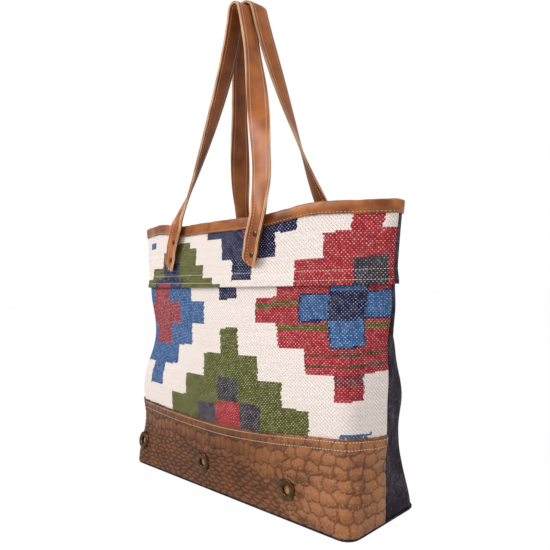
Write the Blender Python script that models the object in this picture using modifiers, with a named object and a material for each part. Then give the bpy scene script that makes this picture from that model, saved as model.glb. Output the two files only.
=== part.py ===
"""Tote bag: kilim front, dark canvas back and bottom, leather base, bound rim, two strap handles.

Metres, +Z up. X runs along the bag, -Y is its front, and the origin is under its middle on the floor.
"""

import math

import bmesh
import bpy
from mathutils import Matrix, Vector

# Body sizes
BASE_HALF_WIDTH = 0.1845
BASE_HALF_DEPTH = 0.0590
BASE_CORNER_RADIUS = 0.016
MOUTH_HALF_WIDTH = 0.213
MOUTH_HALF_DEPTH = 0.0535
MOUTH_END_RADIUS = 0.014
RIM_HEIGHT = 0.320
BELLY = 0.004

# How the right side swells and then flares, and how the left side swells and is pinched in halfway up
RIGHT_SWELL = 0.0090
RIGHT_SWELL_HEIGHT = 0.14
RIGHT_FLARE_START = 0.13
RIGHT_FLARE_POWER = 1.6
LEFT_SWELL_HEIGHT = 0.15
LEFT_PINCH = 0.016
LEFT_PINCH_HEIGHT = 0.18
LEFT_PINCH_SPREAD = 0.060

# How the boxed base turns into the lens of the mouth at the left end (-1) and at the right end (1)
FOLD_LOW_HEIGHT = 0.07
FOLD_LOW = {-1: 0.42, 1: 0.33}
FOLD_START = {-1: 0.13, 1: 0.11}
CREASE_HEIGHT = {-1: 0.175, 1: 0.212}
CREASE_SPREAD = {-1: 0.050, 1: 0.020}
CREASE_DEPTH = {-1: 0.60, 1: 0.75}

# Rim line
FRONT_RIM_DROP = 0.0085
BACK_RIM_DROP = 0.004
RIM_DROP_HALF_WIDTH = 0.06
RIM_DROP_EASE = 0.08
RIGHT_SEAM_DROP = 0.004
RIGHT_SEAM_DROP_START = 0.55

# Leather base, hem and laps
SEAM_HEIGHT = 0.006
LEATHER_HEIGHT = 0.082
LEATHER_RISE_LEFT = 0.004
LEATHER_RISE_RIGHT = 0.013
LEATHER_LAP = 0.010
HEM_HEIGHT = 0.2377
HEM_LAP = 0.0158
HEM_FLARE = 0.0022
HEM_FLARE_HEIGHT = 0.018

# Thicknesses and the clearance between layers
CLEARANCE = 0.0003
CLOTH = 0.0015
LEATHER = 0.0016
LINING = 0.0008
BINDING = 0.0012
BINDING_HEIGHT = 0.011
BINDING_CROWN = (0.3, 0.7)
BOTTOM_SEAM_GAP = 3 * CLEARANCE

# Handles
STRAP_WIDTH = 0.0250
STRAP_PLY = 0.0015
STRAP_TAPER = 0.012
STRAP_TIP_SHARE = 0.3
HANDLE_HALF_SPACING = 0.0731
TAB_TIP_HEIGHT = 0.0520
STRAP_STEP_TOP = 0.0250
STRAP_STEP_LENGTH = 0.0110
APEX_HEIGHT = 0.582
FRONT_LOOP_RADIUS = 0.0085
BACK_LOOP_RADIUS = 0.0145
LOOP_OFFSET = 0.0085
LOOP_SHIFT = 0.006
LOOP_START_ANGLE = math.radians(12.7)

# How far each tab's tip lies from its rim point along X, and where and over what share its free leg turns
TAB_LEAN = {("front", -1): -0.024, ("front", 1): -0.014, ("back", -1): -0.010, ("back", 1): 0.010}
TWIST_MIDDLE = {("front", -1): 0.40, ("front", 1): 0.60, ("back", -1): 0.42, ("back", 1): 0.41}
TWIST_HALF_LENGTH = {("front", -1): 0.62, ("front", 1): 0.24, ("back", -1): 0.24, ("back", 1): 0.45}
TWIST_EASE = 0.12
LEG_START_PULL = 0.25
LEG_STEP = 0.01

# Rivets and eyelets
RIVET_HEAD_RADIUS = 0.0034
RIVET_HEAD_HEIGHT = 0.0016
RIVET_SHOULDER = (0.6, 0.82)
RIVET_EDGE_SHARE = 0.3
RIVET_POST_RADIUS = 0.0015
RIVET_CAP_RADIUS = 0.0030
RIVET_CAP_HEIGHT = 0.0010
RIVET_CAP_CLEARANCE = 0.0009
RIVET_DISTANCES = (0.012, 0.034)
EYELET_HEIGHT = 0.032
EYELET_FIRST_X = -0.1655
EYELET_SPACING = 0.1350
EYELET_COUNT = 3
EYELET_RADIUS = 0.0110
EYELET_HOLE_RADIUS = 0.0047
EYELET_BARREL_RADIUS = 0.0060
EYELET_DOME = 0.0017
EYELET_CROWN = (0.25, 0.65)
EYELET_LIP_SHARE = 0.6
EYELET_EDGE_SHARE = 0.4
RIVET_HOLE_REACH = 2 * CLOTH
EYELET_HOLE_REACH = 3 * LEATHER

# Mesh density
FLAT_END = 0.64
FLAT_SPANS = 4
END_SPANS = 6
ROUND_SIDES = 16
RIVET_SIDES = 8
TAB_SPANS = 8
LEG_SPANS = 9
LOOP_SPANS = 4
STRAP_SPANS = 2
LOW_SPANS = 3
MIDDLE_SPANS = 5
DISH_SPANS = 2
NORMAL_STEP = 0.002
HALVINGS = 40
MERGE_DISTANCE = 0.00001

FACE_SIGN = {"front": -1, "back": 1}

# Depth of each layer's outer face under the bag's outer surface
LEATHER_DEPTH = 0.0
LOWER_DEPTH = LEATHER + CLEARANCE
UPPER_DEPTH = LOWER_DEPTH - CLEARANCE - CLOTH
LINING_DEPTH = LOWER_DEPTH + CLOTH + CLEARANCE
LINING_INNER = LINING_DEPTH + LINING

COLOURS = {
    "kilim": (0.80, 0.74, 0.68, 1.0),
    "canvas": (0.028, 0.024, 0.030, 1.0),
    "croc_leather": (0.25, 0.105, 0.040, 1.0),
    "tan_leather": (0.39, 0.135, 0.045, 1.0),
    "strap_back": (0.20, 0.075, 0.030, 1.0),
    "lining": (0.10, 0.085, 0.080, 1.0),
    "antique_brass": (0.24, 0.17, 0.10, 1.0),
}
METALS = ("antique_brass",)
METAL_ROUGHNESS = 0.4
SOFT_ROUGHNESS = 0.7


def smooth(t):
    """Ease from 0 to 1, flat outside that range."""
    t = min(max(t, 0.0), 1.0)
    return t * t * (3 - 2 * t)


def mix(a, b, t):
    """Straight blend of two numbers or vectors."""
    return a + (b - a) * t


def half_width(z, side):
    """Distance of the side seam from the middle at height z."""
    widening = MOUTH_HALF_WIDTH - BASE_HALF_WIDTH
    if side > 0:
        swell = RIGHT_SWELL * smooth(z / RIGHT_SWELL_HEIGHT)
        flare = max(z - RIGHT_FLARE_START, 0.0) / (RIM_HEIGHT - RIGHT_FLARE_START)
        return BASE_HALF_WIDTH + swell + (widening - RIGHT_SWELL) * flare ** RIGHT_FLARE_POWER
    pinch = LEFT_PINCH * math.exp(-((z - LEFT_PINCH_HEIGHT) / LEFT_PINCH_SPREAD) ** 2)
    return BASE_HALF_WIDTH + widening * smooth(z / LEFT_SWELL_HEIGHT) - pinch


def half_depth(z):
    """Half the bag's depth at its middle at height z."""
    return mix(BASE_HALF_DEPTH, MOUTH_HALF_DEPTH, z / RIM_HEIGHT) + BELLY * math.sin(math.pi * z / RIM_HEIGHT)


def fold(z, side):
    """Share of the mouth's lens in the plan at height z: 0 is the boxed base, 1 is the lens."""
    low = FOLD_LOW[side]
    start = FOLD_START[side]
    share = low * smooth(z / FOLD_LOW_HEIGHT) + (1 - low) * smooth((z - start) / (RIM_HEIGHT - start))
    crease = CREASE_DEPTH[side] * math.exp(-((z - CREASE_HEIGHT[side]) / CREASE_SPREAD[side]) ** 2)
    return share + (1 - share) * crease


def box_quarter(q, width, depth):
    """Quarter of a rounded rectangle, from the front's middle at q = 0 to the side's middle at q = 1."""
    radius = BASE_CORNER_RADIUS
    flat = width - radius
    arc = radius * math.pi / 2
    along = q * (flat + arc + depth - radius)
    if along < flat:
        return along, depth
    if along < flat + arc:
        turn = (along - flat) / radius
        return flat + radius * math.sin(turn), depth - radius + radius * math.cos(turn)
    return width, depth - radius - (along - flat - arc)


def lens_quarter(q, width, depth):
    """Quarter of a lens with rounded ends: a parabola moved outward by the end radius."""
    radius = MOUTH_END_RADIUS
    run = width - radius
    rise = depth - radius
    end_turn = math.atan(2 * rise / run)
    bow = run * (1 + 2 / 3 * (rise / run) ** 2) + radius * end_turn
    bow_share = bow / (bow + radius * (math.pi / 2 - end_turn))
    if q < bow_share:
        x = run * q / bow_share
        turn = math.atan(2 * rise * x / run ** 2)
    else:
        x = run
        turn = mix(end_turn, math.pi / 2, (q - bow_share) / (1 - bow_share))
    y = rise * (1 - (x / run) ** 2)
    return x + radius * math.sin(turn), y + radius * math.cos(turn)


def skin(u, z, face):
    """Point of the bag's outer surface: u runs from -1 at the left seam to 1 at the right seam."""
    if abs(u) > 1:
        return skin(math.copysign(2 - abs(u), u), z, -face)
    side = -1 if u < 0 else 1
    width = half_width(z, side)
    depth = half_depth(z)
    box_x, box_y = box_quarter(abs(u), width, depth)
    lens_x, lens_y = lens_quarter(abs(u), width, depth)
    share = fold(z, side)
    return Vector((side * mix(box_x, lens_x, share), face * mix(box_y, lens_y, share), z))


def skin_normal(u, z, face):
    """Outward normal of the outer surface."""
    across = skin(u + NORMAL_STEP, z, face) - skin(u - NORMAL_STEP, z, face)
    up = skin(u, z + NORMAL_STEP, face) - skin(u, z - NORMAL_STEP, face)
    return (across.cross(up) * -face).normalized()


def layer_point(u, z, face, depth):
    """Point at a depth under the outer surface; a negative depth stands proud of it."""
    return skin(u, z, face) - skin_normal(u, z, face) * depth


def u_at(x, z):
    """Value of u where the surface at height z has the given x."""
    low, high = -1.0, 1.0
    for _ in range(HALVINGS):
        middle = (low + high) / 2
        if skin(middle, z, -1).x < x:
            low = middle
        else:
            high = middle
    return (low + high) / 2


def rim_line(u, face):
    """Height of the panels' top edge."""
    drop = FRONT_RIM_DROP if face < 0 else BACK_RIM_DROP
    x = abs(u) * MOUTH_HALF_WIDTH
    middle_drop = drop * (1 - smooth((x - RIM_DROP_HALF_WIDTH) / RIM_DROP_EASE))
    seam_drop = RIGHT_SEAM_DROP * smooth((u - RIGHT_SEAM_DROP_START) / (1 - RIGHT_SEAM_DROP_START))
    return RIM_HEIGHT - middle_drop - seam_drop


def leather_line(u):
    """Height of the leather base's top edge, lowest in the middle."""
    rise = LEATHER_RISE_RIGHT if u > 0 else LEATHER_RISE_LEFT
    return LEATHER_HEIGHT + rise * smooth(abs(u))


def height_lines(u, face):
    """Heights that all layers share, so that their facets run side by side."""
    rim = rim_line(u, face)
    leather = leather_line(u)
    low = [mix(SEAM_HEIGHT, leather - LEATHER_LAP, k / LOW_SPANS) for k in range(LOW_SPANS + 1)]
    middle = [mix(leather, HEM_HEIGHT, k / MIDDLE_SPANS) for k in range(MIDDLE_SPANS + 1)]
    return low + middle + [HEM_HEIGHT + HEM_LAP, rim - BINDING_HEIGHT, rim]


LEATHER_LAP_LINE = LOW_SPANS
LEATHER_LINE = LEATHER_LAP_LINE + 1
HEM_LINE = LEATHER_LINE + MIDDLE_SPANS
HEM_LAP_LINE = HEM_LINE + 1
RIM_LINE = HEM_LAP_LINE + 2


def half_columns():
    """Values of u across one face, close together round the corners."""
    flat = [FLAT_END * k / FLAT_SPANS for k in range(FLAT_SPANS)]
    end = [mix(FLAT_END, 1.0, k / END_SPANS) for k in range(END_SPANS + 1)]
    quarter = flat + end
    return [-q for q in reversed(quarter[1:])] + quarter


def ring_columns():
    """Pairs of u and face all the way round the bag, counted once at each seam."""
    columns = half_columns()
    front = [(u, -1) for u in columns[:-1]]
    back = [(u, 1) for u in reversed(columns[1:])]
    return front + back


def make_material(name):
    """Principled material in one of the bag's colours."""
    material = bpy.data.materials.new(name)
    material.use_nodes = True
    shader = material.node_tree.nodes["Principled BSDF"]
    shader.inputs["Base Color"].default_value = COLOURS[name]
    shader.inputs["Metallic"].default_value = 1.0 if name in METALS else 0.0
    shader.inputs["Roughness"].default_value = METAL_ROUGHNESS if name in METALS else SOFT_ROUGHNESS
    return material


def add_object(name, mesh_builder, collection, material=None):
    """New object from a bmesh, which is then freed."""
    mesh = bpy.data.meshes.new(name)
    mesh_builder.to_mesh(mesh)
    mesh_builder.free()
    made = bpy.data.objects.new(name, mesh)
    collection.objects.link(made)
    if material:
        mesh.materials.append(material)
        mesh.shade_smooth()
    return made


def low_end_reach(first, second):
    """How far towards the side seam the lower end of a diagonal lies."""
    low = min(first, second, key=lambda vert: vert.co.z)
    return abs(low.co.x) - abs(low.co.y)


def split_quad(builder, corners):
    """Two triangles, split the same way in every layer so that the layers stay parallel."""
    a, b, c, d = corners
    if low_end_reach(a, c) <= low_end_reach(b, d):
        triangles = [(a, b, c), (a, c, d)]
    else:
        triangles = [(a, b, d), (b, c, d)]
    for triangle in triangles:
        builder.faces.new(triangle)


def grid_faces(builder, rows, closed=False, flip=False):
    """Faces between rows of vertices."""
    for lower, upper in zip(rows, rows[1:]):
        count = len(lower)
        for k in range(count if closed else count - 1):
            corners = [lower[k], lower[(k + 1) % count], upper[(k + 1) % count], upper[k]]
            split_quad(builder, corners[::-1] if flip else corners)


def solidify(target, thickness):
    """Wall thickness, grown inward from the outer face."""
    wall = target.modifiers.new("Wall", "SOLIDIFY")
    wall.thickness = thickness
    wall.offset = -1
    wall.use_even_offset = True


def cut_with(target, cutter):
    """Holes where the cutter passes through."""
    hole = target.modifiers.new("Holes", "BOOLEAN")
    hole.operation = "DIFFERENCE"
    hole.solver = "EXACT"
    hole.object = cutter


def hem_flare(z):
    """How far the hem of the upper band stands away from the body."""
    return HEM_FLARE * (1 - smooth((z - HEM_HEIGHT) / HEM_FLARE_HEIGHT))


def section_cap(builder, section, flip):
    """Edge faces across a closed section made of an outer run and the same run back inside."""
    count = len(section) // 2
    for k in range(count - 1):
        corner = [section[k], section[-1 - k], section[-2 - k], section[k + 1]]
        builder.faces.new(corner[::-1] if flip else corner)


def sewn_panel(
        name, face_name, first, last, depth, thickness, collection, material, top_trim=0.0, flare=False):
    """One cut panel of the body between two shared height lines, from side seam to side seam.

    Each height gives a closed section, out along the outer face and back along the inner one, and the
    sections are lofted, so that the cut edges at the side seams stay square to the surface.
    """
    face = FACE_SIGN[face_name]
    seam = 1 - CLEARANCE / (BASE_HALF_WIDTH + BASE_HALF_DEPTH)
    columns = [column * seam for column in half_columns()]
    builder = bmesh.new()
    sections = []
    for line in range(first, last + 1):
        places = []
        for u in columns:
            z = height_lines(u, face)[line]
            z -= top_trim if line == last else 0
            places.append((u, z, depth - (hem_flare(z) if flare else 0)))
        outer = [builder.verts.new(layer_point(u, z, face, under)) for u, z, under in places]
        inner = [builder.verts.new(layer_point(u, z, face, under + thickness)) for u, z, under in places]
        sections.append(outer + inner[::-1])
    flip = face > 0
    grid_faces(builder, sections, closed=True, flip=flip)
    section_cap(builder, sections[0], flip)
    section_cap(builder, sections[-1], not flip)
    return add_object(name, builder, collection, material)


def dish_rows(builder, depth, floor, radius):
    """Rows of a rounded base edge, from its upright rim down to the flat floor."""
    rows = []
    for k in range(DISH_SPANS + 1):
        turn = math.pi / 2 * k / DISH_SPANS
        inset = depth + radius * (1 - math.cos(turn))
        z = floor + radius * (1 - math.sin(turn))
        row = []
        for u, face in ring_columns():
            outward = skin_normal(u, SEAM_HEIGHT, face)
            outward.z = 0
            point = skin(u, SEAM_HEIGHT, face) - outward.normalized() * inset
            point.z = z
            row.append(builder.verts.new(point))
        rows.append(row)
    return rows


def make_bottom(collection, material):
    """Canvas bottom: a flat base whose edge turns up to meet the wall panels."""
    builder = bmesh.new()
    rows = dish_rows(builder, CLEARANCE, 0.0, SEAM_HEIGHT - BOTTOM_SEAM_GAP)
    grid_faces(builder, rows, closed=True, flip=True)
    builder.faces.new(rows[-1][::-1])
    bottom = add_object("bottom_panel", builder, collection, material)
    solidify(bottom, CLOTH)
    return bottom


def make_lining(collection, material):
    """Sewn cotton bag inside the panels, open at the top."""
    builder = bmesh.new()
    rows = []
    for line in range(RIM_LINE, 0, -1):
        row = []
        for u, face in ring_columns():
            z = height_lines(u, face)[line]
            row.append(builder.verts.new(layer_point(u, z, face, LINING_DEPTH)))
        rows.append(row)
    floor = CLOTH + CLEARANCE
    rows += dish_rows(builder, LINING_DEPTH, floor, SEAM_HEIGHT - floor)
    grid_faces(builder, rows, closed=True, flip=True)
    builder.faces.new(rows[-1][::-1])
    lining = add_object("lining", builder, collection, material)
    solidify(lining, LINING)
    return lining


def binding_section():
    """Depth and height over the panel edge of each point round the folded rim strip's section."""
    outer = UPPER_DEPTH - CLEARANCE - BINDING
    inner = LINING_INNER + CLEARANCE + BINDING
    crown = 2 * BINDING
    crown_start, crown_end = BINDING_CROWN
    return [
        (outer, -BINDING_HEIGHT),
        (outer, BINDING / 2),
        (mix(outer, inner, crown_start), crown),
        (mix(outer, inner, crown_end), crown),
        (inner, BINDING / 2),
        (inner, -BINDING_HEIGHT),
        (inner - BINDING, -BINDING_HEIGHT),
        (inner - BINDING, CLEARANCE),
        (outer + BINDING, CLEARANCE),
        (outer + BINDING, -BINDING_HEIGHT),
    ]


def make_binding(collection, material):
    """Leather strip folded over the rim, all the way round the mouth."""
    builder = bmesh.new()
    rows = []
    for depth, lift in binding_section():
        row = []
        for u, face in ring_columns():
            rim = rim_line(u, face)
            point = layer_point(u, rim + min(lift, 0), face, depth)
            point.z += max(lift, 0)
            row.append(builder.verts.new(point))
        rows.append(row)
    grid_faces(builder, rows + rows[:1], closed=True)
    return add_object("top_binding", builder, collection, material)


def strap_stand(drop):
    """Distance of the strap's middle from the outer surface, at a depth below the rim."""
    on_band = CLEARANCE - UPPER_DEPTH + CLEARANCE / 2 + STRAP_PLY
    on_binding = on_band + BINDING + 2 * CLEARANCE
    return mix(on_binding, on_band, smooth((drop - STRAP_STEP_TOP) / STRAP_STEP_LENGTH))


def tab_frame(handle, side, t):
    """Place and outward normal on the sewn tab, from its tip at t = 0 to the rim at t = 1."""
    face = FACE_SIGN[handle]
    rim_x = side * HANDLE_HALF_SPACING
    x = rim_x + TAB_LEAN[handle, side] * (1 - t)
    rim = rim_line(u_at(rim_x, RIM_HEIGHT), face)
    z = rim - TAB_TIP_HEIGHT * (1 - t)
    u = u_at(x, z)
    normal = skin_normal(u, z, face)
    return skin(u, z, face) + normal * strap_stand(rim - z), normal


def loop_radius(handle):
    """Radius of the middle of the strap over the top of the loop."""
    return FRONT_LOOP_RADIUS if handle == "front" else BACK_LOOP_RADIUS


def loop_frame(handle, side, t):
    """Place, direction and normal on the half loop, from its foot at t = 0 to the apex at t = 1."""
    radius = loop_radius(handle)
    centre_z = APEX_HEIGHT - BACK_LOOP_RADIUS - STRAP_PLY - CLEARANCE / 2
    turn = mix(LOOP_START_ANGLE, math.pi / 2, t)
    outward = Vector((side * math.cos(turn), 0, math.sin(turn)))
    centre = Vector((LOOP_SHIFT, FACE_SIGN[handle] * LOOP_OFFSET, centre_z))
    onward = Vector((-side * math.sin(turn), 0, math.cos(turn)))
    return centre + outward * radius, onward, outward


def leg_point(handle, side, t):
    """Place on the free leg, a smooth curve from the rim to the foot of the loop."""
    start, _ = tab_frame(handle, side, 1.0)
    below, _ = tab_frame(handle, side, 1.0 - LEG_STEP)
    end, end_way, _ = loop_frame(handle, side, 0.0)
    reach = (end - start).length
    start_way = (start - below).normalized() * reach * LEG_START_PULL
    end_way = end_way * reach
    a = 2 * t ** 3 - 3 * t ** 2 + 1
    b = t ** 3 - 2 * t ** 2 + t
    c = 3 * t ** 2 - 2 * t ** 3
    d = t ** 3 - t ** 2
    return start * a + start_way * b + end * c + end_way * d


def leg_normal(handle, side, t):
    """Outward normal of the free leg, turned a quarter from the panel's face to the loop's face."""
    _, first = tab_frame(handle, side, 1.0)
    middle = TWIST_MIDDLE[handle, side]
    half = TWIST_HALF_LENGTH[handle, side]
    turn = math.pi / 2 * smooth((t - middle + half) / (2 * half)) * smooth(t / TWIST_EASE)
    along = leg_point(handle, side, t + LEG_STEP) - leg_point(handle, side, t - LEG_STEP)
    along.normalize()
    flat = Vector((first.x, first.y, 0)).normalized()
    outward = flat * math.cos(turn) + Vector((side, 0, 0)) * math.sin(turn)
    return (outward - along * outward.dot(along)).normalized()


def strap_stations(handle):
    """Place and outward normal at each station from the left tab's tip over the loop to the right one's."""
    halves = []
    for side in (-1, 1):
        half = [tab_frame(handle, side, k / TAB_SPANS) for k in range(TAB_SPANS)]
        for k in range(LEG_SPANS):
            t = k / LEG_SPANS
            half.append((leg_point(handle, side, t), leg_normal(handle, side, t)))
        for k in range(LOOP_SPANS + 1):
            point, _, outward = loop_frame(handle, side, k / LOOP_SPANS)
            half.append((point, outward))
        halves.append(half)
    return halves[0] + halves[1][-2::-1]


def strap_half_width(from_tip):
    """Half width of the strap, which narrows to a rounded point at its tip."""
    if from_tip >= STRAP_TAPER:
        return STRAP_WIDTH / 2
    share = from_tip / STRAP_TAPER
    return STRAP_WIDTH / 2 * max(math.sqrt(1 - (1 - share) ** 2), STRAP_TIP_SHARE)


def strap_ply(name, handle, level, collection, material):
    """One leather ply of a handle, its outer face at a level over the strap's middle."""
    stations = strap_stations(handle)
    points = [point for point, _ in stations]
    runs = [0.0]
    for before, after in zip(points, points[1:]):
        runs.append(runs[-1] + (after - before).length)
    builder = bmesh.new()
    rows = []
    for k, (point, normal) in enumerate(stations):
        along = (points[min(k + 1, len(points) - 1)] - points[max(k - 1, 0)]).normalized()
        across = along.cross(normal).normalized()
        half = strap_half_width(min(runs[k], runs[-1] - runs[k]))
        row = []
        for j in range(STRAP_SPANS + 1):
            offset = mix(-half, half, j / STRAP_SPANS)
            row.append(builder.verts.new(point + normal * level + across * offset))
        rows.append(row)
    grid_faces(builder, rows)
    bmesh.ops.recalc_face_normals(builder, faces=builder.faces[:])
    middle = builder.faces[:][len(builder.faces) // 2]
    apex_normal = Vector((0, 0, 1))
    if middle.normal.dot(apex_normal) < 0:
        bmesh.ops.reverse_faces(builder, faces=builder.faces[:])
    ply = add_object(name, builder, collection, material)
    solidify(ply, STRAP_PLY)
    return ply


def turned(name, profile, sides, closed, frame, collection, material):
    """Solid of revolution about a frame's own Z, from a profile of radius and height."""
    builder = bmesh.new()
    verts = [builder.verts.new((radius, 0, height)) for radius, height in profile]
    for before, after in zip(verts, verts[1:]):
        builder.edges.new((before, after))
    if closed:
        builder.edges.new((verts[-1], verts[0]))
    made = add_object(name, builder, collection, material)
    made.matrix_world = frame
    screw = made.modifiers.new("Turn", "SCREW")
    screw.steps = sides
    screw.render_steps = sides
    screw.use_merge_vertices = True
    screw.merge_threshold = MERGE_DISTANCE
    return made


def frame_on(point, normal):
    """Frame whose Z is the normal at a point."""
    turn = Vector((0, 0, 1)).rotation_difference(normal)
    return Matrix.Translation(point) @ turn.to_matrix().to_4x4()


def rod(builder, frame, radius, low, high, sides):
    """Cylinder along a frame's Z added to a bmesh."""
    centre = frame @ Matrix.Translation((0, 0, (low + high) / 2))
    bmesh.ops.create_cone(
        builder, cap_ends=True, segments=sides, radius1=radius, radius2=radius,
        depth=high - low, matrix=centre)


def rivet_frames(handle):
    """Frames of the handle's rivets on the strap's outer face, with the post length of each."""
    found = []
    face_level = STRAP_PLY + CLEARANCE / 2
    for side in (-1, 1):
        for distance in RIVET_DISTANCES:
            t = distance / TAB_TIP_HEIGHT
            point, normal = tab_frame(handle, side, t)
            stand = strap_stand(TAB_TIP_HEIGHT * (1 - t))
            post = stand + face_level + LINING_INNER + RIVET_CAP_CLEARANCE
            found.append((frame_on(point + normal * face_level, normal), post))
    return found


def rivet_profile(post):
    """Domed head over the strap, post through the layers, flat cap inside."""
    bottom = -post - RIVET_CAP_HEIGHT
    shoulder_radius, shoulder_height = RIVET_SHOULDER
    return [
        (0, CLEARANCE + RIVET_HEAD_HEIGHT),
        (RIVET_HEAD_RADIUS * shoulder_radius, CLEARANCE + RIVET_HEAD_HEIGHT * shoulder_height),
        (RIVET_HEAD_RADIUS, CLEARANCE + RIVET_HEAD_HEIGHT * RIVET_EDGE_SHARE),
        (RIVET_HEAD_RADIUS, CLEARANCE),
        (RIVET_POST_RADIUS, CLEARANCE),
        (RIVET_POST_RADIUS, -post),
        (RIVET_CAP_RADIUS, -post),
        (RIVET_CAP_RADIUS, bottom),
        (0, bottom),
    ]


def make_cutter(name, frames, radius, low, high, sides, collection):
    """One cutting object with a rod at each frame."""
    builder = bmesh.new()
    for frame, length in frames:
        rod(builder, frame, radius, low - length, high, sides)
    cutter = add_object(name, builder, collection)
    cutter.hide_render = True
    cutter.display_type = "WIRE"
    return cutter


def make_handle(handle, panel, lining, collection, cutters, materials):
    """Two-ply strap with its rivets, and the holes that they pass through."""
    level = STRAP_PLY + CLEARANCE / 2
    outer = strap_ply(handle + "_handle_outer", handle, level, collection, materials["tan_leather"])
    inner = strap_ply(handle + "_handle_inner", handle, -CLEARANCE / 2, collection, materials["strap_back"])
    frames = rivet_frames(handle)
    radius = RIVET_POST_RADIUS + CLEARANCE
    reach = RIVET_HOLE_REACH
    cutter = make_cutter(handle + "_rivet_holes", frames, radius, -reach, reach, RIVET_SIDES, cutters)
    for target in (outer, inner, panel, lining):
        cut_with(target, cutter)
    places = ("left_lower", "left_upper", "right_lower", "right_upper")
    for place, (frame, post) in zip(places, frames):
        name = handle + "_rivet_" + place
        turned(name, rivet_profile(post), RIVET_SIDES, False, frame, collection, materials["antique_brass"])


def eyelet_frames():
    """Frames of the ring eyelets on the leather base's face."""
    frames = []
    for k in range(EYELET_COUNT):
        u = u_at(EYELET_FIRST_X + k * EYELET_SPACING, EYELET_HEIGHT)
        point = skin(u, EYELET_HEIGHT, -1)
        frames.append(frame_on(point, skin_normal(u, EYELET_HEIGHT, -1)))
    return frames


def eyelet_profile():
    """Domed flange over the leather and a barrel through its hole."""
    crown_start, crown_end = EYELET_CROWN
    return [
        (EYELET_HOLE_RADIUS, -LEATHER),
        (EYELET_HOLE_RADIUS, EYELET_DOME * EYELET_LIP_SHARE),
        (mix(EYELET_HOLE_RADIUS, EYELET_RADIUS, crown_start), CLEARANCE + EYELET_DOME),
        (mix(EYELET_HOLE_RADIUS, EYELET_RADIUS, crown_end), CLEARANCE + EYELET_DOME),
        (EYELET_RADIUS, CLEARANCE + EYELET_DOME * EYELET_EDGE_SHARE),
        (EYELET_RADIUS, CLEARANCE),
        (EYELET_BARREL_RADIUS, CLEARANCE),
        (EYELET_BARREL_RADIUS, -LEATHER),
    ]


def make_eyelets(leather, collection, cutters, material):
    """Ring eyelets in a row, and their holes in the leather."""
    frames = eyelet_frames()
    radius = EYELET_BARREL_RADIUS + CLEARANCE
    reach = EYELET_HOLE_REACH
    holes = [(frame, 0.0) for frame in frames]
    cutter = make_cutter("eyelet_holes", holes, radius, -reach, reach, ROUND_SIDES, cutters)
    cut_with(leather, cutter)
    for place, frame in zip(("left", "middle", "right"), frames):
        turned("eyelet_" + place, eyelet_profile(), ROUND_SIDES, True, frame, collection, material)


def main():
    for old in list(bpy.data.objects):
        bpy.data.objects.remove(old, do_unlink=True)
    tote = bpy.data.collections.new("tote_bag")
    cutters = bpy.data.collections.new("cutters")
    for collection in (tote, cutters):
        bpy.context.scene.collection.children.link(collection)
    materials = {name: make_material(name) for name in COLOURS}

    lining = make_lining(tote, materials["lining"])
    make_bottom(tote, materials["canvas"])
    leather = sewn_panel(
        "base_leather", "front", 0, LEATHER_LINE, LEATHER_DEPTH, LEATHER, tote, materials["croc_leather"])
    sewn_panel(
        "base_backing", "front", 0, LEATHER_LAP_LINE, LOWER_DEPTH, CLOTH, tote,
        materials["tan_leather"], top_trim=CLEARANCE)
    sewn_panel(
        "front_lower_panel", "front", LEATHER_LAP_LINE, HEM_LAP_LINE, LOWER_DEPTH, CLOTH, tote,
        materials["kilim"])
    sewn_panel("back_lower_panel", "back", 0, HEM_LAP_LINE, LOWER_DEPTH, CLOTH, tote, materials["canvas"])
    upper = {}
    for face_name, cloth in (("front", "kilim"), ("back", "canvas")):
        upper[face_name] = sewn_panel(
            face_name + "_upper_panel", face_name, HEM_LINE, RIM_LINE, UPPER_DEPTH, CLOTH, tote,
            materials[cloth], flare=True)
    make_binding(tote, materials["tan_leather"])
    for handle in ("front", "back"):
        make_handle(handle, upper[handle], lining, tote, cutters, materials)
    make_eyelets(leather, tote, cutters, materials["antique_brass"])


main()
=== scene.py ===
# %% [markdown]
# # Tote bag
# A shoulder tote is a sewn shell: a patterned front, a plain back, a leather foot, a bound rim and two
# straps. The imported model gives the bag's solids as a fixed frame. Everything made here is fitted to
# that frame: finer cloth, leather, thread and metal, each with the finish of the real material.

import math
from contextlib import contextmanager
from functools import partial

import bmesh
import bpy
import numpy as np
from mathutils import Matrix, Vector


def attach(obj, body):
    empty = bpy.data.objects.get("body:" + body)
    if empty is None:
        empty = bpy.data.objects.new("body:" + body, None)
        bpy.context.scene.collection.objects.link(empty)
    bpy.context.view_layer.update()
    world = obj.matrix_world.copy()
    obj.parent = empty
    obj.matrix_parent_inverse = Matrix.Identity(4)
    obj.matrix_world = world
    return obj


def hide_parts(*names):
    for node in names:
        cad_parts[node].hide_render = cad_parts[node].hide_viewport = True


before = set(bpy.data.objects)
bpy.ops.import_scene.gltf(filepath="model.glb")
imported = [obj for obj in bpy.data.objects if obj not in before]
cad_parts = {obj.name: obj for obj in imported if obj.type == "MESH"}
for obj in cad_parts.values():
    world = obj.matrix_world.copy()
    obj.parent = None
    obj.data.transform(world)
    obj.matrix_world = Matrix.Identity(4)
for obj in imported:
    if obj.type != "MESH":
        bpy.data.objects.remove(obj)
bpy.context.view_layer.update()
print("nodes in the frame:", len(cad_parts))

# %% [markdown]
# ## The bag's shape in numbers
# The body is one smooth surface. Its base is a boxed rectangle, its mouth is a lens that is pinched at
# the side seams, and the walls blend from one to the other. One function of two numbers gives any point
# of it: u runs from -1 at the left seam to 1 at the right seam, and z is the height. All layers are
# offsets of that surface, so leather, hem and cloth stay on each other however fine their meshes are.

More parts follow.
